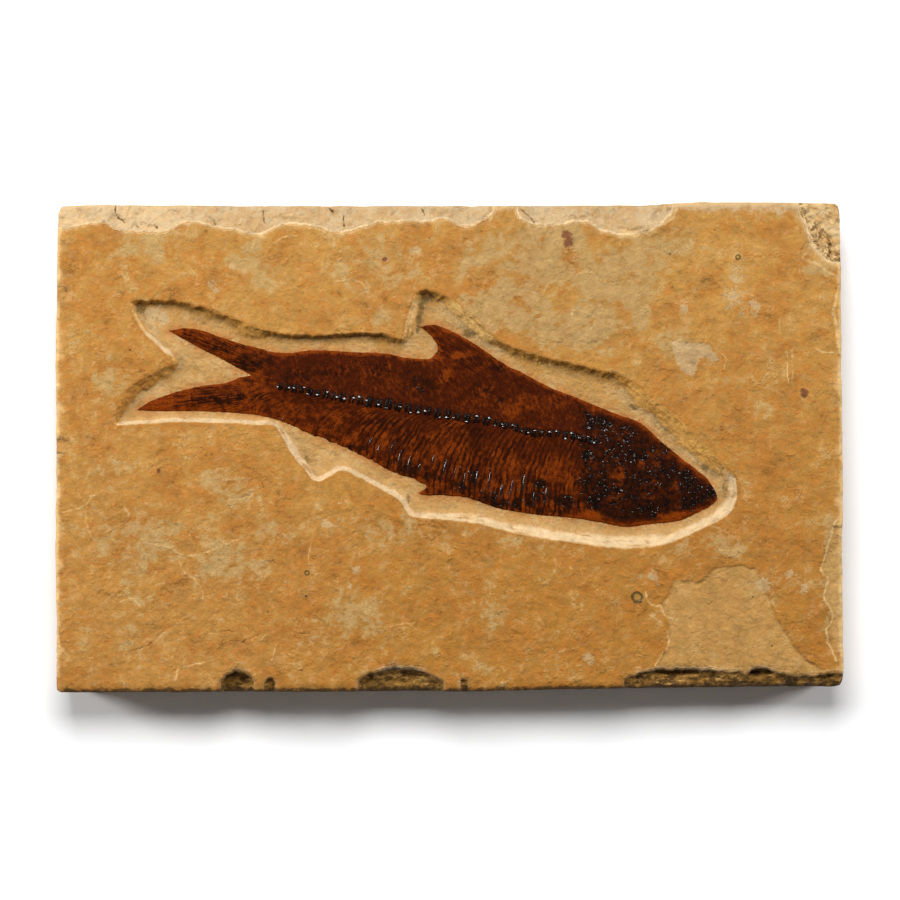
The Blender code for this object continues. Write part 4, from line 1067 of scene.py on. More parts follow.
class Limestone(Finish):
    """Iron-stained limestone: mottled skin, pale fresh breaks, fine beds down the sides."""

    def __init__(self, settings):
        super().__init__("iron_stained_limestone")
        self.settings = settings
        chipping, self.bed, self.leaf = self.attribute("kinds")
        self.khaki, self.stain, self.flake = self.attribute("tints")
        # The marks carry the cracks with the painted shade of the lower edge, and the pale lines with the
        # painted highlight of the arris.
        self.crack, self.pale, self.on_top = self.attribute("marks")
        self.wall, self.wall_pale, self.verge = self.attribute("trench")
        # In the trench the last channel carries the dirt and painted shade of its corners; outside it, the
        # pits of the crumbling corner.
        self.deep, self.streak, self.granular = self.attribute("cutting")

        self.patches = self.noise(6.0, 7.0, 0.68, 0.4)
        self.mottle = self.noise(1.7, 5.0, 0.65)
        self.grain = self.noise(0.42, 3.0, 0.65)
        self.streaks = self.noise(1.6, 6.0, 0.7, 0.6, self.stretched((2.4, 0.8, 1.0), -0.25))
        self.unevenness = [self.less_half(field) for field in (self.patches, self.mottle, self.grain)]
        self.along_x, self.along_y = self.place_along("X"), self.place_along("Y")

        self.chipping = self.frayed(chipping, mottle=0.3, grain=0.1)
        self.broken = self.band(self.chipping, 0.49, 0.53)
        off_trench = self.band(self.add(self.bed, self.wall), 0.02, 0.1, 1.0, 0.0)
        self.on_skin = self.times(self.rest_of(self.broken), off_trench)
        self.on_slope = self.times(
            self.band(self.wall_pale, 0.22, 0.3), self.band(self.wall_pale, 0.6, 0.75, 1.0, 0.0)
        )
        self.southern = self.band(self.along_y, -44.0, -45.2)
        self.western = self.times(
            self.band(self.along_x, -72.0, -70.0, 0.9, 0.0), self.band(self.along_y, 40.0, 42.0, 1.0, 0.0)
        )
        leaves = self.math("FRACT", self.frayed(self.times(self.chipping, 7.0), patches=3.0))
        near_break = self.band(self.chipping, 0.06, 0.3)
        self.feather = self.times(self.band(leaves, 0.35, 0.85), near_break, self.on_skin, 0.5)

    def frayed(self, value, patches=0.0, mottle=0.0, grain=0.0):
        """The value, made uneven by this much of the stone's patches, mottle and grain."""
        for field, amount in zip(self.unevenness, (patches, mottle, grain)):
            if amount:
                value = self.add(value, self.times(field, amount))
        return value

    def paint(self, *layers):
        self.color = self.layered(self.color, *layers)

    def paint_skin(self):
        """The face: golden below the fish and ochre above it, with rusty, paler, olive and dusty areas."""
        north = self.band(self.along_y, -42.0, 42.0)
        rust = self.frayed(self.noise(19.0, 6.0, 0.6, 0.6), -1.5, 1.4)
        khaki = self.frayed(self.khaki, 3.4, 2.4)
        olive = self.noise(3.2, 4.0, 0.6, 0.5, self.stretched(turn=1.3))
        dust = self.noise(2.2, 6.0, 0.7, 0.5, self.stretched((1.4, 1.0, 1.0), 0.5))
        freckles = self.noise(1.1, 2.0, 0.5, 0.0, self.stretched(turn=0.9))
        self.color = self.mix(north, self.settings.golden, self.settings.ochre)
        self.paint(
            (SANDY, self.band(self.along_x, -55.0, 0.0, 0.3, 0.0), self.rest_of(north)),
            (self.settings.rust, self.band(rust, 0.44, 0.62), 0.6),
            (self.settings.khaki, self.band(khaki, 0.3, 0.75), 0.72),
            (OLIVE, self.band(olive, 0.5, 0.62), self.band(self.along_x, -60.0, 0.0, 0.12, 0.3)),
            (LOST_LEAF, self.leaf, 0.7),
            (DUST, self.band(dust, 0.52, 0.68), 0.4),
            (FRECKLE, self.band(freckles, 0.72, 0.78), 0.5),
        )

    def wall_color(self):
        """The trench's walls: golden where they are shaded, a painted warm cast of shade, and pale where they
        are lit, streaked on slopes.
        """
        tone = self.add(self.frayed(self.wall_pale, mottle=0.8), self.less_half(self.streak))
        core = self.times(self.band(self.deep, 0.0, 0.25), self.band(self.deep, 0.65, 1.0, 1.0, 0.35))
        cut = self.layered(WARM_CUT, (self.settings.cut, self.band(self.wall_pale, 0.84, 0.9)))
        slope = self.layered(
            SLOPE,
            (PALE_SLOPE, self.band(self.wall_pale, 0.42, 0.56)),
            (RUSTY_SLOPE, self.band(self.wall_pale, 0.3, 0.36, 1.0, 0.0)),
            (SLOPE_STREAK, self.band(self.streak, 0.4, 0.75, 0.0, 0.65)),
            (SLOPE_SHADE, self.band(self.deep, 0.7, 1.0, 0.0, 0.6)),
        )
        return self.layered(
            SHADED_WALL_LIP,
            (self.settings.wall, self.band(self.deep, 0.0, 1.0)),
            (self.settings.ochre, self.band(tone, 0.1, 0.45)),
            (cut, self.band(tone, 0.45, 0.95), core),
            (slope, self.on_slope),
        )

    def paint_trench(self):
        """The floor and walls of the trench, the stains, specks and dirt beside them, and painted shade along
        the foot of the shaded walls.
        """
        floor = self.layered(
            self.settings.bed,
            (self.settings.bed_light, self.band(self.patches, 0.35, 0.65), 0.6),
            (DULL_BED, self.band(self.mottle, 0.44, 0.58), 0.65),
            (BED_STREAK, self.band(self.streaks, 0.5, 0.62), 0.55),
        )
        shaded = self.band(self.wall_pale, 0.2, 0.3, 1.0, 0.0)
        foot = self.times(self.verge, self.bed, self.band(self.mottle, 0.3, 0.55, 0.45, 1.0))
        in_trench = self.add(self.wall, self.bed)
        specks = self.times(self.band(self.noise(0.9, 4.0, 0.7), 0.5, 0.6), self.verge, in_trench)
        speck_strength = self.add(self.times(shaded, 0.3), self.times(self.on_slope, 0.3))
        outside = self.band(in_trench, 0.0, 0.1, 1.0, 0.0)
        # Dark dirt, with painted shade, in the corners of the trench.
        dirt_and_shade = self.band(self.frayed(self.granular, 0.0, 1.2, 1.4), 0.2, 0.8)
        self.paint(
            (floor, self.bed, 0.95),
            (FISH_STAIN, self.stain, self.band(self.mottle, 0.38, 0.56), 0.6),
            # Painted shade beside the shaded walls.
            (SHADED_FOOT, foot, shaded, 0.9),
            (PALE_FOOT, foot, self.band(self.wall_pale, 0.7, 0.9, 0.0, 0.25)),
            (SLOPE_FOOT, foot, self.on_slope, 0.65),
            (self.wall_color(), self.wall),
            (WALL_SPECK, specks, speck_strength),
            (self.settings.rust, self.verge, outside, self.band(self.patches, 0.35, 0.55), 0.75),
            (DIRT_AND_SHADE, dirt_and_shade, self.bed, 0.8),
        )

    def chip_color(self):
        """Broken stone: pale and mottled, crumbling in one corner and bedded along the lower edge."""
        pits = self.band(self.noise(1.3, 4.0, 0.7, 0.6), 0.42, 0.52, 1.0, 0.0)
        crumbs = self.layered(
            PALE_CRUMB,
            (DULL_CRUMB, self.band(self.streaks, 0.4, 0.6)),
            (DARK_PIT, pits, self.band(self.granular, 0.5, 0.9, 0.2, 0.9)),
        )
        beds = self.noise(1.0, 5.0, 0.7, 0.3, self.stretched((3.0, 0.7, 1.0)))
        ledge = self.layered(
            PALE_LEDGE,
            (BROWN_LEDGE, self.band(beds, 0.32, 0.46)),
            (DARK_LEDGE, self.band(self.frayed(beds, mottle=1.0), 0.48, 0.6)),
        )
        return self.layered(
            self.settings.fresh,
            (self.settings.chip_shade, self.band(self.frayed(self.mottle, patches=1.0), 0.36, 0.6)),
            (self.settings.khaki, self.band(self.streaks, 0.55, 0.7), 0.4),
            (WHITE_BREAK, self.band(self.along_x, -60.0, -45.0, 0.35, 0.0)),
            (crumbs, self.band(self.granular, 0.1, 0.4)),
            (ledge, self.southern),
            (self.settings.ochre, self.western),
        )

    def paint_breaks(self):
        """Broken stone, its frayed lips with their painted highlight, the pale lines and print that are drawn
        one by one, and the painted highlight of the worn arris.
        """
        # The lips of the breaks and the feathered laminae beside them are painted cream: a painted highlight
        # along the edges.
        lip = self.largest(
            self.times(self.broken, self.band(self.chipping, 0.52, 0.66, 1.0, 0.0)),
            self.times(self.on_skin, self.band(self.chipping, 0.3, 0.42)),
            self.feather,
        )
        plain = self.rest_of(self.largest(self.times(self.southern, 0.85), self.western))
        torn = self.band(self.frayed(self.chipping, 0.5, 0.4), 0.12, 0.5, 0.0, 0.8)
        north_rim = self.band(self.frayed(self.along_y, 5.0, 3.0), 46.9, 48.3)
        solid_line = self.largest(self.band(self.mottle, 0.3, 0.5), self.band(self.pale, 0.5, 0.7))
        self.paint(
            (self.chip_color(), self.broken, 0.92),
            (NORTH_RIM, north_rim, self.on_top, self.on_skin, 0.7),
            (TORN_SKIN, self.on_skin, plain, torn),
            (self.settings.cream, lip, plain, 0.85),
            # Pale lines, and the painted highlight of the worn arris.
            (PALE_LINE, self.pale, solid_line, 0.85),
            (FLAKE_PRINT, self.flake, 0.8),
        )

    def paint_marks(self):
        """Stains, specks, dots, rings, cracks and the painted shade along the lower edge, each at its own
        place.
        """
        for point, radius in PURPLE_STAINS:
            away = self.frayed(self.distance_to(point), mottle=radius * 2.0)
            self.paint((PURPLE, self.band(away, radius * 0.6, radius, 0.85, 0.0)))
        for point, radius in WHITE_SPECKS:
            away = self.frayed(self.distance_to(point), mottle=radius * 8.0, grain=radius * 5.0)
            self.paint((CHALK, self.band(away, radius * 0.2, radius * 1.3, 0.6, 0.0)))
        for point, radius in DARK_DOTS:
            dot = self.band(self.distance_to(point), radius * 0.4, radius * 1.1, 0.8, 0.0)
            self.paint((self.settings.grime, dot))
        for point, radius, width in DARK_RINGS:
            away = self.frayed(self.distance_to(point), mottle=radius * 1.2)
            self.paint(
                (RING_MIDDLE, self.band(away, radius * 0.8, radius, 0.5, 0.0)),
                (RING_LINE, self.line_where(away, radius, width * 0.7, width * 1.5, 0.85)),
            )
        # Cracks, and the painted shade along the lower edge.
        self.paint((CRACK_SHADE, self.band(self.frayed(self.crack, mottle=0.7), 0.25, 0.75, 0.0, 0.85)))

    def paint_sides(self):
        """The trimmed sides, with their fine beds."""
        beds = self.noise(0.8, 3.0, 0.6, 0.0, self.stretched((25.0, 25.0, 1.0)))
        side = self.layered(SIDE_BED, (self.settings.chip_shade, self.band(beds, 0.35, 0.65)))
        self.paint((side, self.rest_of(self.on_top)))

    def thin_lines(self):
        """Pale seams and dark slits that wander over the skin."""
        seams = self.noise(6.0, 5.0, 0.62, 0.8, self.stretched(shift=(0.2, 0.5, 0.0)))
        slits = self.noise(2.6, 4.0, 0.6, 0.5, self.stretched((2.2, 0.9, 1.0), -0.15, (0.1, 0.3, 0.0)))
        seam, slit = self.line_where(seams, 0.5, 0.006, 0.024), self.line_where(slits, 0.5, 0.004, 0.022)
        seam = self.times(seam, self.band(self.patches, 0.52, 0.62), self.on_skin)
        return seam, self.times(slit, self.band(self.patches, 0.36, 0.42, 1.0, 0.0), self.on_skin)

    def flake_edges(self, size, flights):
        """Thin crescents along which the bedding has flaked: the lines, and the tiny steps that they edge."""
        field = self.times(self.noise(size, 3.0, 0.55, 1.0), flights)
        part = self.math("FRACT", field)
        sparse = self.band(self.noise(4.0, 3.0, 0.6, 0.0, self.stretched(shift=(0.3, 0.1, 0.0))), 0.56, 0.66)
        steps = self.add(self.math("FLOOR", field), self.band(part, 0.9, 1.0))
        return self.times(self.band(part, 0.88, 0.97), sparse), self.times(steps, sparse)

    def relief(self, seam, slit, steps):
        """The grain of the stone, coarser where it is broken or cut, and the fine steps of its skin."""
        ridges = self.noise(1.5, 3.0, 0.6, 0.3, self.stretched((0.7, 2.6, 1.0), -0.75))
        smoother = self.times(self.wall, self.on_slope, -0.75)
        rubble = self.add(0.1, self.broken, self.wall, smoother, self.times(self.bed, 0.9))
        ridge_depth = self.add(1.6, self.times(self.granular, 2.0))
        height = self.add(
            self.times(self.noise(1.4, 2.5, 0.5, 0.4), 1.1), self.times(self.noise(4.0, 3.0, 0.5), 2.2),
            self.times(self.grain, 0.4), self.times(seam, 0.2), self.times(self.feather, 0.4),
            self.times(slit, -0.25), self.times(ridges, self.broken, ridge_depth),
            self.times(self.noise(0.7, 5.0, 0.7), rubble),
        )
        return self.bump(self.times(steps, self.on_skin), 0.03, self.bump(height, 0.3))

    def finished(self):
        self.paint_skin()
        self.paint_trench()
        self.paint_breaks()
        self.paint_marks()
        self.paint_sides()
        edges, steps = self.flake_edges(9.0, 7.0)
        seam, slit = self.thin_lines()
        self.paint((FLAKE_EDGE, edges, 0.35, self.on_skin), (PALE_SEAM, seam, 0.3), (DARK_SLIT, slit, 0.4))
        shade = self.add(
            0.12, self.times(self.patches, 0.5), self.times(self.mottle, 0.9), self.times(self.grain, 0.36)
        )
        # Darker towards the east: painted light falloff, as if the light came a little from the west.
        shade = self.times(shade, self.band(self.along_x, -80.0, 80.0, 1.02, 0.975))
        color = self.mix(1.0, self.color, self.grey(shade), "MULTIPLY")
        normal = self.relief(seam, slit, steps)
        return self.set(base_color=color, roughness=0.8, normal=normal, specular_ior_level=0.25)


class FOSSIL_OT_slab(bpy.types.Operator):
    """Build the slab of limestone, with its trench, chipped edges and bedded sides"""

    bl_idname = "fossil.slab"
    bl_label = "Limestone slab"

    def execute(self, context):
        settings = context.scene.fossil_slab
        face = SlabFace(settings)
        mesh = fitted_grid(settings)
        refine_breaks(mesh, face, 0.12, 0.8)
        refine_breaks(mesh, face, 0.16, 0.42)
        shape_face(mesh, face)
        drop_sides(mesh, face, settings)
        piece = finish_piece("limestone_slab_finish", mesh, Limestone(settings).finished(), "limestone_slab")
        return {"FINISHED"}


def pitch_at(x):
    for (x_1, pitch_1), (x_2, pitch_2) in zip(VERTEBRA_PITCH, VERTEBRA_PITCH[1:]):
        if x < x_2:
            return pitch_1 + (pitch_2 - pitch_1) * clamp((x - x_1) / (x_2 - x_1))
    return VERTEBRA_PITCH[-1][1]


def vertebra_places():
    """Place and step to the next one of each vertebra, from the tail to the head."""
    x = FIRST_VERTEBRA_X
    found = []
    while x < LAST_VERTEBRA_X:
        ahead = x + pitch_at(x)
        found.append((Vector((x, CREST(x))), Vector((ahead - x, CREST(ahead) - CREST(x)))))
        x = ahead
    return found


def rib_sweep(x):
    """How far back the rib of a vertebra at this X reaches at the belly."""
    share = clamp((x - FIRST_RIB_X) / (GILL_X - FIRST_RIB_X))
    return RIB_SWEEP_TAIL + (RIB_SWEEP_TRUNK - RIB_SWEEP_TAIL) * share


def rib_root(x, y):
    """X of the vertebra whose rib passes a point below the backbone, and how far down the rib that is."""
    root, down = x, 0.0
    for _ in range(4):
        top = CREST(root)
        tip = BELLY(root - rib_sweep(root))
        down = clamp((top - y) / max(top - tip, 1.0))
        turn = math.acos(clamp(1.0 - down**1.25, -1.0, 1.0))
        root = x + rib_sweep(root) * math.sin(turn)
    return root, down


class FishSurface:
    """The relief of the fish above the floor of its trench, in millimetres."""

    def __init__(self, settings):
        self.crown = settings.crown / MM
        self.edge = settings.edge / MM
        self.head_bones = Strokes(HEAD_BONES)
        self.outline = fish_outline_lookup()

    def to_edge(self, x, y):
        return distance_in(self.outline, x, y)

    def height(self, x, y):
        """Height of this place of the fish above the slab's back face."""
        return FISH_BED + self(x, y, self.to_edge(x, y))[0]

    def rays(self, x, y, focus, radius):
        """Place across the rays that fan out from a focus, as at this radius, and distance from the focus."""
        across = math.atan2(y - focus[1], focus[0] - x) * radius + 0.15 * rough(x, y, 3.0, 2, 9.0)
        return across, math.hypot(x - focus[0], y - focus[1])

    def __call__(self, x, y, to_edge):
        """Height, shares of dark, thin and glossy bone, and place across and along the fibres of the bone."""
        crest = CREST(x)
        above = y - crest
        body = smoothstep(TAIL_X - 8.0, TAIL_X, x)
        swell = clamp(to_edge / 9.0)
        height = self.edge * smoothstep(-0.2, 0.9, to_edge) + self.crown * swell * (1.6 - 0.6 * swell)
        fraying = 0.3 * rough(x, y, 1.6, 3, 50.0)
        dark = area_share(DARK_AREAS, x, y, fraying)
        amber = area_share(AMBER_AREAS, x, y, fraying)
        amber = max(amber, 0.9 * smoothstep(1.0, 0.1, to_edge + 0.6 * fraying))
        height += 0.015 * rough(x, y, 0.8, 2, 3.0) + 0.03 * rough(x, y, 4.0, 2, 1.0)
        height += 0.05 * dark * rough(x, y, 1.0, 2, 33.0)
        across, along, ribs = x + 0.3 * above, 3.5 * above, 0.0

        if x < TAIL_X:
            across, along = self.rays(x, y, TAIL_RAY_FOCUS, TAIL_RAY_RADIUS)
            ribs = 0.6 * smoothstep(-35.0, -38.0, x)
            amber = max(amber, 0.8 * ribs, 0.8 * smoothstep(-50.0, -58.0, x))
        if -8.0 < x < 13.0 and y + 0.35 * x > 16.5:
            across, along = self.rays(x, y, DORSAL_RAY_FOCUS, DORSAL_RAY_RADIUS)
            ribs = 0.5
        if x > GILL_X - 3.0:
            bone = self.head_bones(x, y) * (0.7 + 0.5 * rough(x, y, 1.2, 2, 21.0))
            dark = max(dark, bone)
            height += 0.05 * bone
        if body and x < LAST_VERTEBRA_X + 1.0:
            height += 0.08 * smoothstep(2.6, 0.4, abs(above)) * body
            dark = max(dark, 0.4 * smoothstep(1.3, 0.4, abs(above) + 0.25 * fraying) * body)
        if body and x < GILL_X + 2.0 and above < 0.0:
            flank = body * smoothstep(GILL_X + 2.0, GILL_X - 2.0, x)
            root, down = rib_root(x, y)
            place = root / RIB_PITCH + 0.26 * rough(x, y, 4.5, 3, 14.0)
            coarse = (0.5 + 0.5 * math.cos(2.0 * math.pi * place)) * smoothstep(0.35, 0.7, down)
            height += 0.05 * coarse * flank
            across, along = place * RIB_PITCH, 15.0 * down
            ribs = flank * smoothstep(-26.0, -14.0, x) * smoothstep(0.0, 0.12, down)
            lower = smoothstep(0.62, 0.85, down + 0.3 * fraying) * smoothstep(-13.0, -8.0, x)
            patchy = smoothstep(-0.1, 0.45, rough(x, y, 3.2, 3, 71.0))
            dark = max(dark, lower * (1.0 - coarse) * 0.85 * patchy)
            amber = max(amber, 0.45 * flank * smoothstep(0.1, 0.4, down) * (1.0 - patchy))
        if x > GILL_X:
            in_head = smoothstep(GILL_X, GILL_X + 3.0, x) * smoothstep(0.4, 2.0, to_edge)
            blotch = rough(x, y, 3.2, 3, 88.0)
            amber = max(amber, 0.2 * in_head * smoothstep(0.1, 0.6, blotch))
            dark = max(dark, in_head * (0.66 - 0.3 * amber + 0.2 * smoothstep(0.05, -0.4, blotch)))
        glossy = smoothstep(-22.0, -12.0, x) * smoothstep(8.5, 6.5, above)
        return height, (clamp(dark), clamp(amber), glossy), (across * MM, along * MM / FIBRE_STRETCH, ribs)


def stretch_to_tip(mesh, tip):
    """Draws the part of the grid near a narrow tip, where it falls short, out to the end of the tip."""
    near = [vert for vert in mesh.verts if (vert.co / MM - tip).length < TIP_REACH]
    gap = min((vert.co / MM - tip).length for vert in near)
    for vert in near:
        offset = vert.co / MM - tip
        length = max(offset.length, gap + 1e-3)
        vert.co = (tip + offset * ((length - gap) / (TIP_REACH - gap) * TIP_REACH / length)) * MM


def on_fish(tree, x, y):
    """Whether a vertical ray through this place meets the fish's solid."""
    return tree.ray_cast(Vector((x * MM, y * MM, 0.02)), Vector((0.0, 0.0, -1.0)))[0] is not None


def settle_border(border, outline):
    """Pulls the border's points onto the outline, evens out their steps and frays them."""
    for vert in border:
        vert.co = outline.find(vert.co / MM)[0] * MM
    for _ in range(BORDER_EASING):
        eased = []
        for vert in border:
            around = [edge.other_vert(vert).co for edge in vert.link_edges if edge.is_boundary]
            eased.append(vert.co.lerp((around[0] + around[1]) / 2, 0.5))
        for vert, place in zip(border, eased):
            vert.co = place
    for vert in border:
        x, y = vert.co.x / MM, vert.co.y / MM
        fringe = 0.2 * smoothstep(-38.0, -34.0, x) * smoothstep(-6.0, -12.0, x)
        fringe = 0.1 + fringe * smoothstep(0.0, -2.0, y - CREST(x))
        vert.co.x += fringe * MM * rough(x, y, 1.1, 2, 60.0)
        vert.co.y += fringe * MM * rough(x, y, 1.1, 2, 66.0)


def fish_grid(outline, tree, pitch):
    """A fine grid cut to the fish's outline."""
    width, depth = FISH_HIGH.x - FISH_LOW.x, FISH_HIGH.y - FISH_LOW.y
    mesh = bmesh.new()
    bmesh.ops.create_grid(mesh, x_segments=round(width / pitch), y_segments=round(depth / pitch), size=0.5)
    centre = (FISH_LOW + FISH_HIGH) / 2
    place = Matrix.Translation((centre.x, centre.y, 0.0)) @ Matrix.Diagonal((width, depth, 1.0, 1.0))
    bmesh.ops.transform(mesh, matrix=place, verts=mesh.verts)
    outside = [vert for vert in mesh.verts if not on_fish(tree, vert.co.x / MM, vert.co.y / MM)]
    bmesh.ops.delete(mesh, geom=outside, context="VERTS")
    for _ in range(2):
        loose = [vert for vert in mesh.verts if len(vert.link_faces) < 2]
        bmesh.ops.delete(mesh, geom=loose, context="VERTS")
    settle_border([vert for vert in mesh.verts if vert.is_boundary], outline)
    for tip in FIN_TIPS:
        stretch_to_tip(mesh, Vector((*tip, 0.0)))
    return mesh


def varnished_bone(settings):
    """Fossil bone and scale under varnish: dark red-brown with amber where it is thin."""
    bone = Finish("varnished_bone")
    dark, amber, glossy = bone.attribute("marks")
    across, along, ribs = bone.attribute("flow")
    clouds = bone.less_half(bone.noise(3.6, 6.0, 0.66, 0.6))
    flecks = bone.less_half(bone.noise(0.9, 4.0, 0.62))
    grain = bone.noise(0.3, 3.0, 0.6)
    along_fibres = bone.combined(across, along)
    in_head = bone.band(bone.place_along("X"), GILL_X, GILL_X + 6.0)
    fibres = bone.less_half(bone.noise(0.55, 3.0, 0.6, 0.0, along_fibres))
    fibres = bone.times(fibres, bone.rest_of(in_head))
    wander = bone.times(bone.less_half(bone.noise(2.6, 3.0, 0.6)), 1.4)
    phase = bone.math("FRACT", bone.add(bone.times(across, 2.0 / (RIB_PITCH * MM)), wander))
    patchy = bone.band(bone.noise(1.8, 2.0, 0.5, 0.0, along_fibres), 0.36, 0.56)
    lines = bone.times(bone.line_where(phase, 0.5, 0.08, 0.26), patchy, ribs)
    amber_share = bone.add(
        bone.times(amber, 0.95), bone.times(clouds, 1.7), bone.times(flecks, 1.6), bone.times(fibres, 1.8),
        bone.times(lines, -0.5),
    )
    umber_share = bone.add(
        bone.times(dark, 1.2), bone.times(flecks, -1.8), bone.times(clouds, -2.0), bone.times(fibres, -2.2),
        bone.times(lines, 0.7), -0.06,
    )
    black = bone.band(bone.add(dark, bone.times(flecks, -2.2)), 0.5, 1.1)
    color = bone.layered(
        settings.bone,
        (settings.amber, bone.band(amber_share, -0.1, 1.1), 0.95),
        (settings.umber, bone.band(umber_share, -0.1, 1.0), 0.9),
        (settings.black, black, 0.9),
    )
    color = bone.mix(1.0, color, bone.grey(bone.add(0.05, bone.times(grain, 1.9))), "MULTIPLY")
    pitting = bone.times(flecks, bone.add(0.15, black))
    relief = bone.add(pitting, bone.times(grain, 0.05), bone.times(lines, -0.15))
    normal = bone.bump(relief, 0.2)
    sparkle = bone.times(black, glossy, bone.band(bone.noise(0.42, 2.0, 0.5, 0.5), 0.56, 0.66))
    return bone.set(
        base_color=color, roughness=0.65, normal=normal, specular_ior_level=0.02,
        coat_weight=sparkle, coat_roughness=0.08, coat_ior=1.8, coat_normal=normal,
    )


def black_varnish(name, settings, shine=1.0, roughness=0.04, relief=0.07):
    """The glossiest bone: black, with a few brown flecks."""
    glossy = Finish(name)
    flecks = glossy.noise(0.6, 3.0, 0.6)
    color = glossy.mix(glossy.band(flecks, 0.5, 0.75), settings.black, settings.umber)
    normal = glossy.bump(flecks, relief)
    return glossy.set(
        base_color=color, roughness=0.6, normal=normal, specular_ior_level=0.02, coat_weight=shine,
        coat_roughness=roughness, coat_ior=1.9, coat_normal=normal,
    )


class FOSSIL_OT_fish(bpy.types.Operator):
    """Build the pressed body of the fish with its fins, from the outline of its solid"""

    bl_idname = "fossil.fish"
    bl_label = "Pressed fish"

    def execute(self, context):
        settings = context.scene.fossil_fish
        surface = FishSurface(settings)
        mesh = fish_grid(surface.outline, lookup_tree("fossil_fish"), settings.pitch)
        marks_layer, flow_layer = point_channels(mesh, "marks"), point_channels(mesh, "flow")
        for vert in mesh.verts:
            x, y = vert.co.x / MM, vert.co.y / MM
            height, marks, flow = surface(x, y, 0.0 if vert.is_boundary else surface.to_edge(x, y))
            vert.co.z = (FISH_BED + max(height, LEAST_HEIGHT)) * MM
            vert[marks_layer] = (*marks, 1.0)
            vert[flow_layer] = (*flow, 1.0)
        skirt, corners = extruded(mesh, [edge for edge in mesh.edges if edge.is_boundary])
        for vert in corners:
            vert.co.z = (FISH_BED - SKIRT_DEPTH) * MM
        bmesh.ops.contextual_create(mesh, geom=skirt)
        piece = finish_piece("fossil_fish_body", mesh, varnished_bone(settings), "fossil_fish")
        return {"FINISHED"}


def add_rod(mesh, points, radii, sides, flatness, lean=0.0):
    """A tapering rod along points: a ring, extruded from each point to the next and closed at both ends.

    A lean above 0 tilts the top of a rod that runs along X towards the fish's back.
    """
    ring = bmesh.ops.create_circle(mesh, segments=sides, radius=1.0)["verts"]
    shape = [vert.co.copy() for vert in ring]
    edges = list(dict.fromkeys(edge for vert in ring for edge in vert.link_edges))
    ends = [edges]
    for i, (point, radius) in enumerate(zip(points, radii)):
        along = (points[min(i + 1, len(points) - 1)] - points[max(i - 1, 0)]).normalized()
        turn = Vector((0.0, 0.0, 1.0)).rotation_difference(along).to_matrix()
        if i:
            edges, ring = extruded(mesh, edges)
        for vert, corner in zip(ring, shape):
            offset = turn @ (corner * radius)
            offset.z = offset.z * flatness - offset.y * lean
            vert.co = (point + offset) * MM
    ends.append(edges)
    for loop in ends:
        bmesh.ops.contextual_create(mesh, geom=loop)


def add_vertebra(mesh, beads, surface, place, step, chance):
    """Two short rods side by side across the backbone, and a small glossy bead on them."""
    length = clamp(step.length, 0.9, 1.8)
    size = clamp(step.length * 0.56, 0.75, 1.05) * (0.85 + 0.3 * chance.random())
    way = Vector((step.x, step.y, 0.0)).normalized()
    aside = Vector((-way.y, way.x, 0.0))
    centre = Vector((place.x, place.y, surface.height(place.x, place.y)))
    centre += aside * (chance.random() - 0.5) * 0.3
    for along in (-0.19, 0.19):
        middle = centre + way * length * (along + 0.06 * chance.random())
        half, radius = size * (0.72 + 0.3 * chance.random()), size * (0.23 + 0.08 * chance.random())
        points = [middle + aside * half * t for t, _ in VERTEBRA_PROFILE]
        add_rod(mesh, points, [radius * share for _, share in VERTEBRA_PROFILE], ROD_SIDES, 0.8)
    raised = centre + aside * (chance.random() - 0.5) * size * 1.5 + Vector((0.0, 0.0, 0.2))
    raised += way * length * (chance.random() - 0.5) * 0.8
    wide = (0.04 + 0.32 * chance.random()) * size
    points = [raised + way * length * t for t, _ in BEAD_PROFILE]
    add_rod(beads, points, [wide * share for _, share in BEAD_PROFILE], ROD_SIDES, 0.3, 0.3)


class FOSSIL_OT_backbone(bpy.types.Operator):
    """Build the row of glossy vertebrae"""

    bl_idname = "fossil.backbone"
    bl_label = "Backbone"

    def execute(self, context):
        settings = context.scene.fossil_fish
        surface = FishSurface(settings)
        chance = random.Random(VERTEBRAE_SEED)
        mesh, beads = bmesh.new(), bmesh.new()
        for place, step in vertebra_places():
            add_vertebra(mesh, beads, surface, place, step, chance)
        for vert in mesh.verts:
            place = vert.co / MM
            vert.co.z += 0.16 * MM * noise.noise(place * 1.7)
            vert.co.x += 0.18 * MM * noise.noise(place * 1.9 + Vector((3.0, 7.0, 1.0)))
            vert.co.y += 0.18 * MM * noise.noise(place * 1.8 + Vector((9.0, 2.0, 5.0)))
        vertebrae = finish_piece("vertebrae", mesh, black_varnish("black_vertebra", settings, 0.05))
        gloss = black_varnish("glossy_bead", settings, 1.0, 0.22, 0.02)
        finish_piece("vertebra_beads", beads, gloss)
        return {"FINISHED"}


def add_rib_end(mesh, surface, root, chance):
    """The visible end of the rib that starts at this X of the backbone."""
    sweep = rib_sweep(root)
    crest, tip = CREST(root), BELLY(root - sweep)
    start = 0.62 + 0.2 * chance.random()
    end = start + 0.1 + 0.16 * chance.random()
    thickness = 0.13 + 0.12 * chance.random()
    points, radii = [], []
    for i in range(RIB_SEGMENTS + 1):
        t = start + (end - start) * i / RIB_SEGMENTS
        x = root - sweep * math.sin(t * math.pi / 2) + 0.12 * rough(root, i * 0.5, 3.0, 2, 1.0)
        y = crest + (tip - crest) * 0.97 * (1.0 - math.cos(t * math.pi / 2)) ** 0.8
        points.append(Vector((x, y, surface.height(x, y))))
        radii.append(thickness * (1.0 - 0.75 * abs(2.0 * i / RIB_SEGMENTS - 1.0) ** 2))
    add_rod(mesh, points, radii, RIB_SIDES, 0.8)


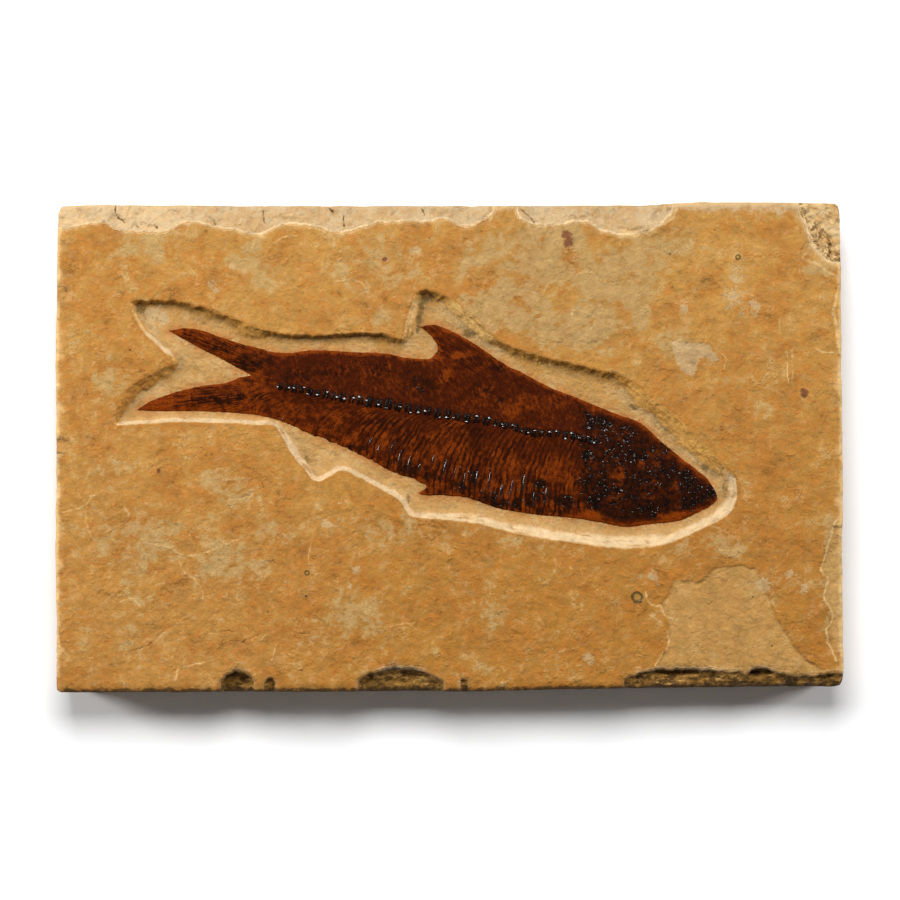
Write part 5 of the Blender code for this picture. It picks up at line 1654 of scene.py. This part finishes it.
class FOSSIL_OT_ribs(bpy.types.Operator):
    """Build the ends of the ribs, which stand out along the belly"""

    bl_idname = "fossil.ribs"
    bl_label = "Ribs"

    def execute(self, context):
        settings = context.scene.fossil_fish
        surface = FishSurface(settings)
        chance = random.Random(RIBS_SEED)
        mesh = bmesh.new()
        root = FIRST_RIB_X + 3.0
        while root < GILL_X:
            add_rib_end(mesh, surface, root, chance)
            root += RIB_PITCH * (0.8 + 0.4 * chance.random())
        finish_piece("rib_ends", mesh, black_varnish("glossy_rib", settings))
        return {"FINISHED"}


def grain_places(chance):
    """The drawn places of the grains, and some scattered over the dark bone of the head and belly."""
    places = list(BONE_GRAINS)
    for (centre_x, centre_y), radius_x, radius_y, _ in DARK_AREAS:
        if centre_x > GRAINS_FROM_X or centre_y < GRAINS_BELOW_Y:
            for _ in range(GRAINS_PER_AREA):
                away_x, away_y = chance.gauss(0.0, 0.5) * radius_x, chance.gauss(0.0, 0.5) * radius_y
                places.append((centre_x + away_x, centre_y + away_y))
    return places


class FOSSIL_OT_grains(bpy.types.Operator):
    """Build the grains of glossy bone that sparkle on the head and belly"""

    bl_idname = "fossil.grains"
    bl_label = "Grains of bone"

    def execute(self, context):
        settings = context.scene.fossil_fish
        surface = FishSurface(settings)
        tree = lookup_tree("fossil_fish")
        chance = random.Random(GRAINS_SEED)
        mesh = bmesh.new()
        for x, y in grain_places(chance):
            if surface.to_edge(x, y) < GRAIN_MARGIN or not on_fish(tree, x, y):
                continue
            wide, deep = 0.1 + 0.19 * chance.random(), 0.08 + 0.13 * chance.random()
            turn = Matrix.Rotation(chance.uniform(0.0, math.pi), 4, "Z")
            shape = Matrix.Diagonal((wide * MM, deep * MM, GRAIN_HEIGHT * MM, 1.0))
            place = Matrix.Translation(Vector((x, y, surface.height(x, y) - GRAIN_SINK)) * MM)
            form = place @ turn @ shape
            for vert in bmesh.ops.create_icosphere(mesh, subdivisions=2, radius=1.0, matrix=form)["verts"]:
                spot = vert.co / MM
                vert.co.x += 0.2 * MM * noise.noise(spot * 2.6)
                vert.co.y += 0.2 * MM * noise.noise(spot * 2.6 + Vector((5.0, 1.0, 3.0)))
        grains = finish_piece("bone_grains", mesh, black_varnish("glossy_grain", settings, 0.8))
        return {"FINISHED"}


def area_light(name, place, size, power):
    """A soft light aimed at the middle of the slab's face."""
    data = bpy.data.lights.new(name, "AREA")
    data.shape = "RECTANGLE"
    data.size, data.size_y = size
    data.energy = power
    light = bpy.data.objects.new(name, data)
    light.location = place
    aim = Vector((0.0, 0.0, SLAB_HIGH.z))
    light.rotation_euler = (aim - Vector(place)).to_track_quat("-Z", "Y").to_euler()
    bpy.context.scene.collection.objects.link(light)


def paper_floor(settings):
    """The white paper that the slab lies on."""
    mesh = bmesh.new()
    bmesh.ops.create_grid(mesh, x_segments=1, y_segments=1, size=FLOOR_HALF_SIZE)
    data = bpy.data.meshes.new("studio_floor")
    mesh.to_mesh(data)
    mesh.free()
    paper = Finish("white_paper")
    data.materials.append(paper.set(base_color=settings.floor, roughness=0.9, specular_ior_level=0.1))
    floor = bpy.data.objects.new("studio_floor", data)
    bpy.context.scene.collection.objects.link(floor)


def even_sky(scene, strength):
    world = bpy.data.worlds.new("studio")
    world.use_nodes = True
    background = world.node_tree.nodes["Background"]
    background.inputs["Color"].default_value = SKY_COLOR
    background.inputs["Strength"].default_value = strength
    scene.world = world
    scene.view_settings.view_transform = "Standard"
    scene.view_settings.look = "None"


def overhead_camera(scene, settings):
    """A camera that looks straight down, high enough to see the view's width at the face of the slab."""
    lens_data = bpy.data.cameras.new("camera")
    lens_data.lens = settings.lens
    lens_data.sensor_width = SENSOR_WIDTH
    lens_data.clip_start = 0.01
    camera = bpy.data.objects.new("camera", lens_data)
    distance = settings.view_width * settings.lens / lens_data.sensor_width
    camera.location = (*CAMERA_PLACE, SLAB_HIGH.z + distance)
    scene.collection.objects.link(camera)
    scene.camera = camera


class FOSSIL_OT_stage(bpy.types.Operator):
    """Set the floor, the studio light and the camera that looks straight down"""

    bl_idname = "fossil.stage"
    bl_label = "Studio"

    def execute(self, context):
        settings = context.scene.fossil_stage
        paper_floor(settings)
        area_light("key_light", KEY_PLACE, KEY_SIZE, settings.key_power)
        for name, side, share in (("left_light", -1.0, 1.15), ("right_light", 1.0, 0.85)):
            place = (side * SIDE_LIGHT_PLACE[0], *SIDE_LIGHT_PLACE[1:])
            area_light(name, place, SIDE_LIGHT_SIZE, settings.side_power * share)
        even_sky(context.scene, settings.sky)
        overhead_camera(context.scene, settings)
        return {"FINISHED"}


class FOSSIL_PT_panel(bpy.types.Panel):
    """Lists the pieces in the sidebar"""

    bl_idname = "FOSSIL_PT_panel"
    bl_label = "Fossil fish"
    bl_space_type = "VIEW_3D"
    bl_region_type = "UI"
    bl_category = "Fossil"

    def draw(self, context):
        for operator in OPERATORS:
            self.layout.operator(operator.bl_idname)
        for group in SETTINGS:
            for name in group.__annotations__:
                self.layout.prop(getattr(context.scene, SETTINGS[group]), name)


SETTINGS = {SlabSettings: "fossil_slab", FishSettings: "fossil_fish", StageSettings: "fossil_stage"}
OPERATORS = (
    FOSSIL_OT_slab, FOSSIL_OT_fish, FOSSIL_OT_backbone, FOSSIL_OT_ribs, FOSSIL_OT_grains, FOSSIL_OT_stage,
)


def register():
    for group, name in SETTINGS.items():
        bpy.utils.register_class(group)
        setattr(bpy.types.Scene, name, bpy.props.PointerProperty(type=group))
    for item in (*OPERATORS, FOSSIL_PT_panel):
        bpy.utils.register_class(item)


def unregister():
    for item in (FOSSIL_PT_panel, *reversed(OPERATORS)):
        bpy.utils.unregister_class(item)
    for group, name in SETTINGS.items():
        delattr(bpy.types.Scene, name)
        bpy.utils.unregister_class(group)


def main():
    register()
    bpy.ops.fossil.slab()
    bpy.ops.fossil.fish()
    bpy.ops.fossil.backbone()
    bpy.ops.fossil.ribs()
    bpy.ops.fossil.grains()
    bpy.ops.fossil.stage()


if __name__ == "__main__":
    main()
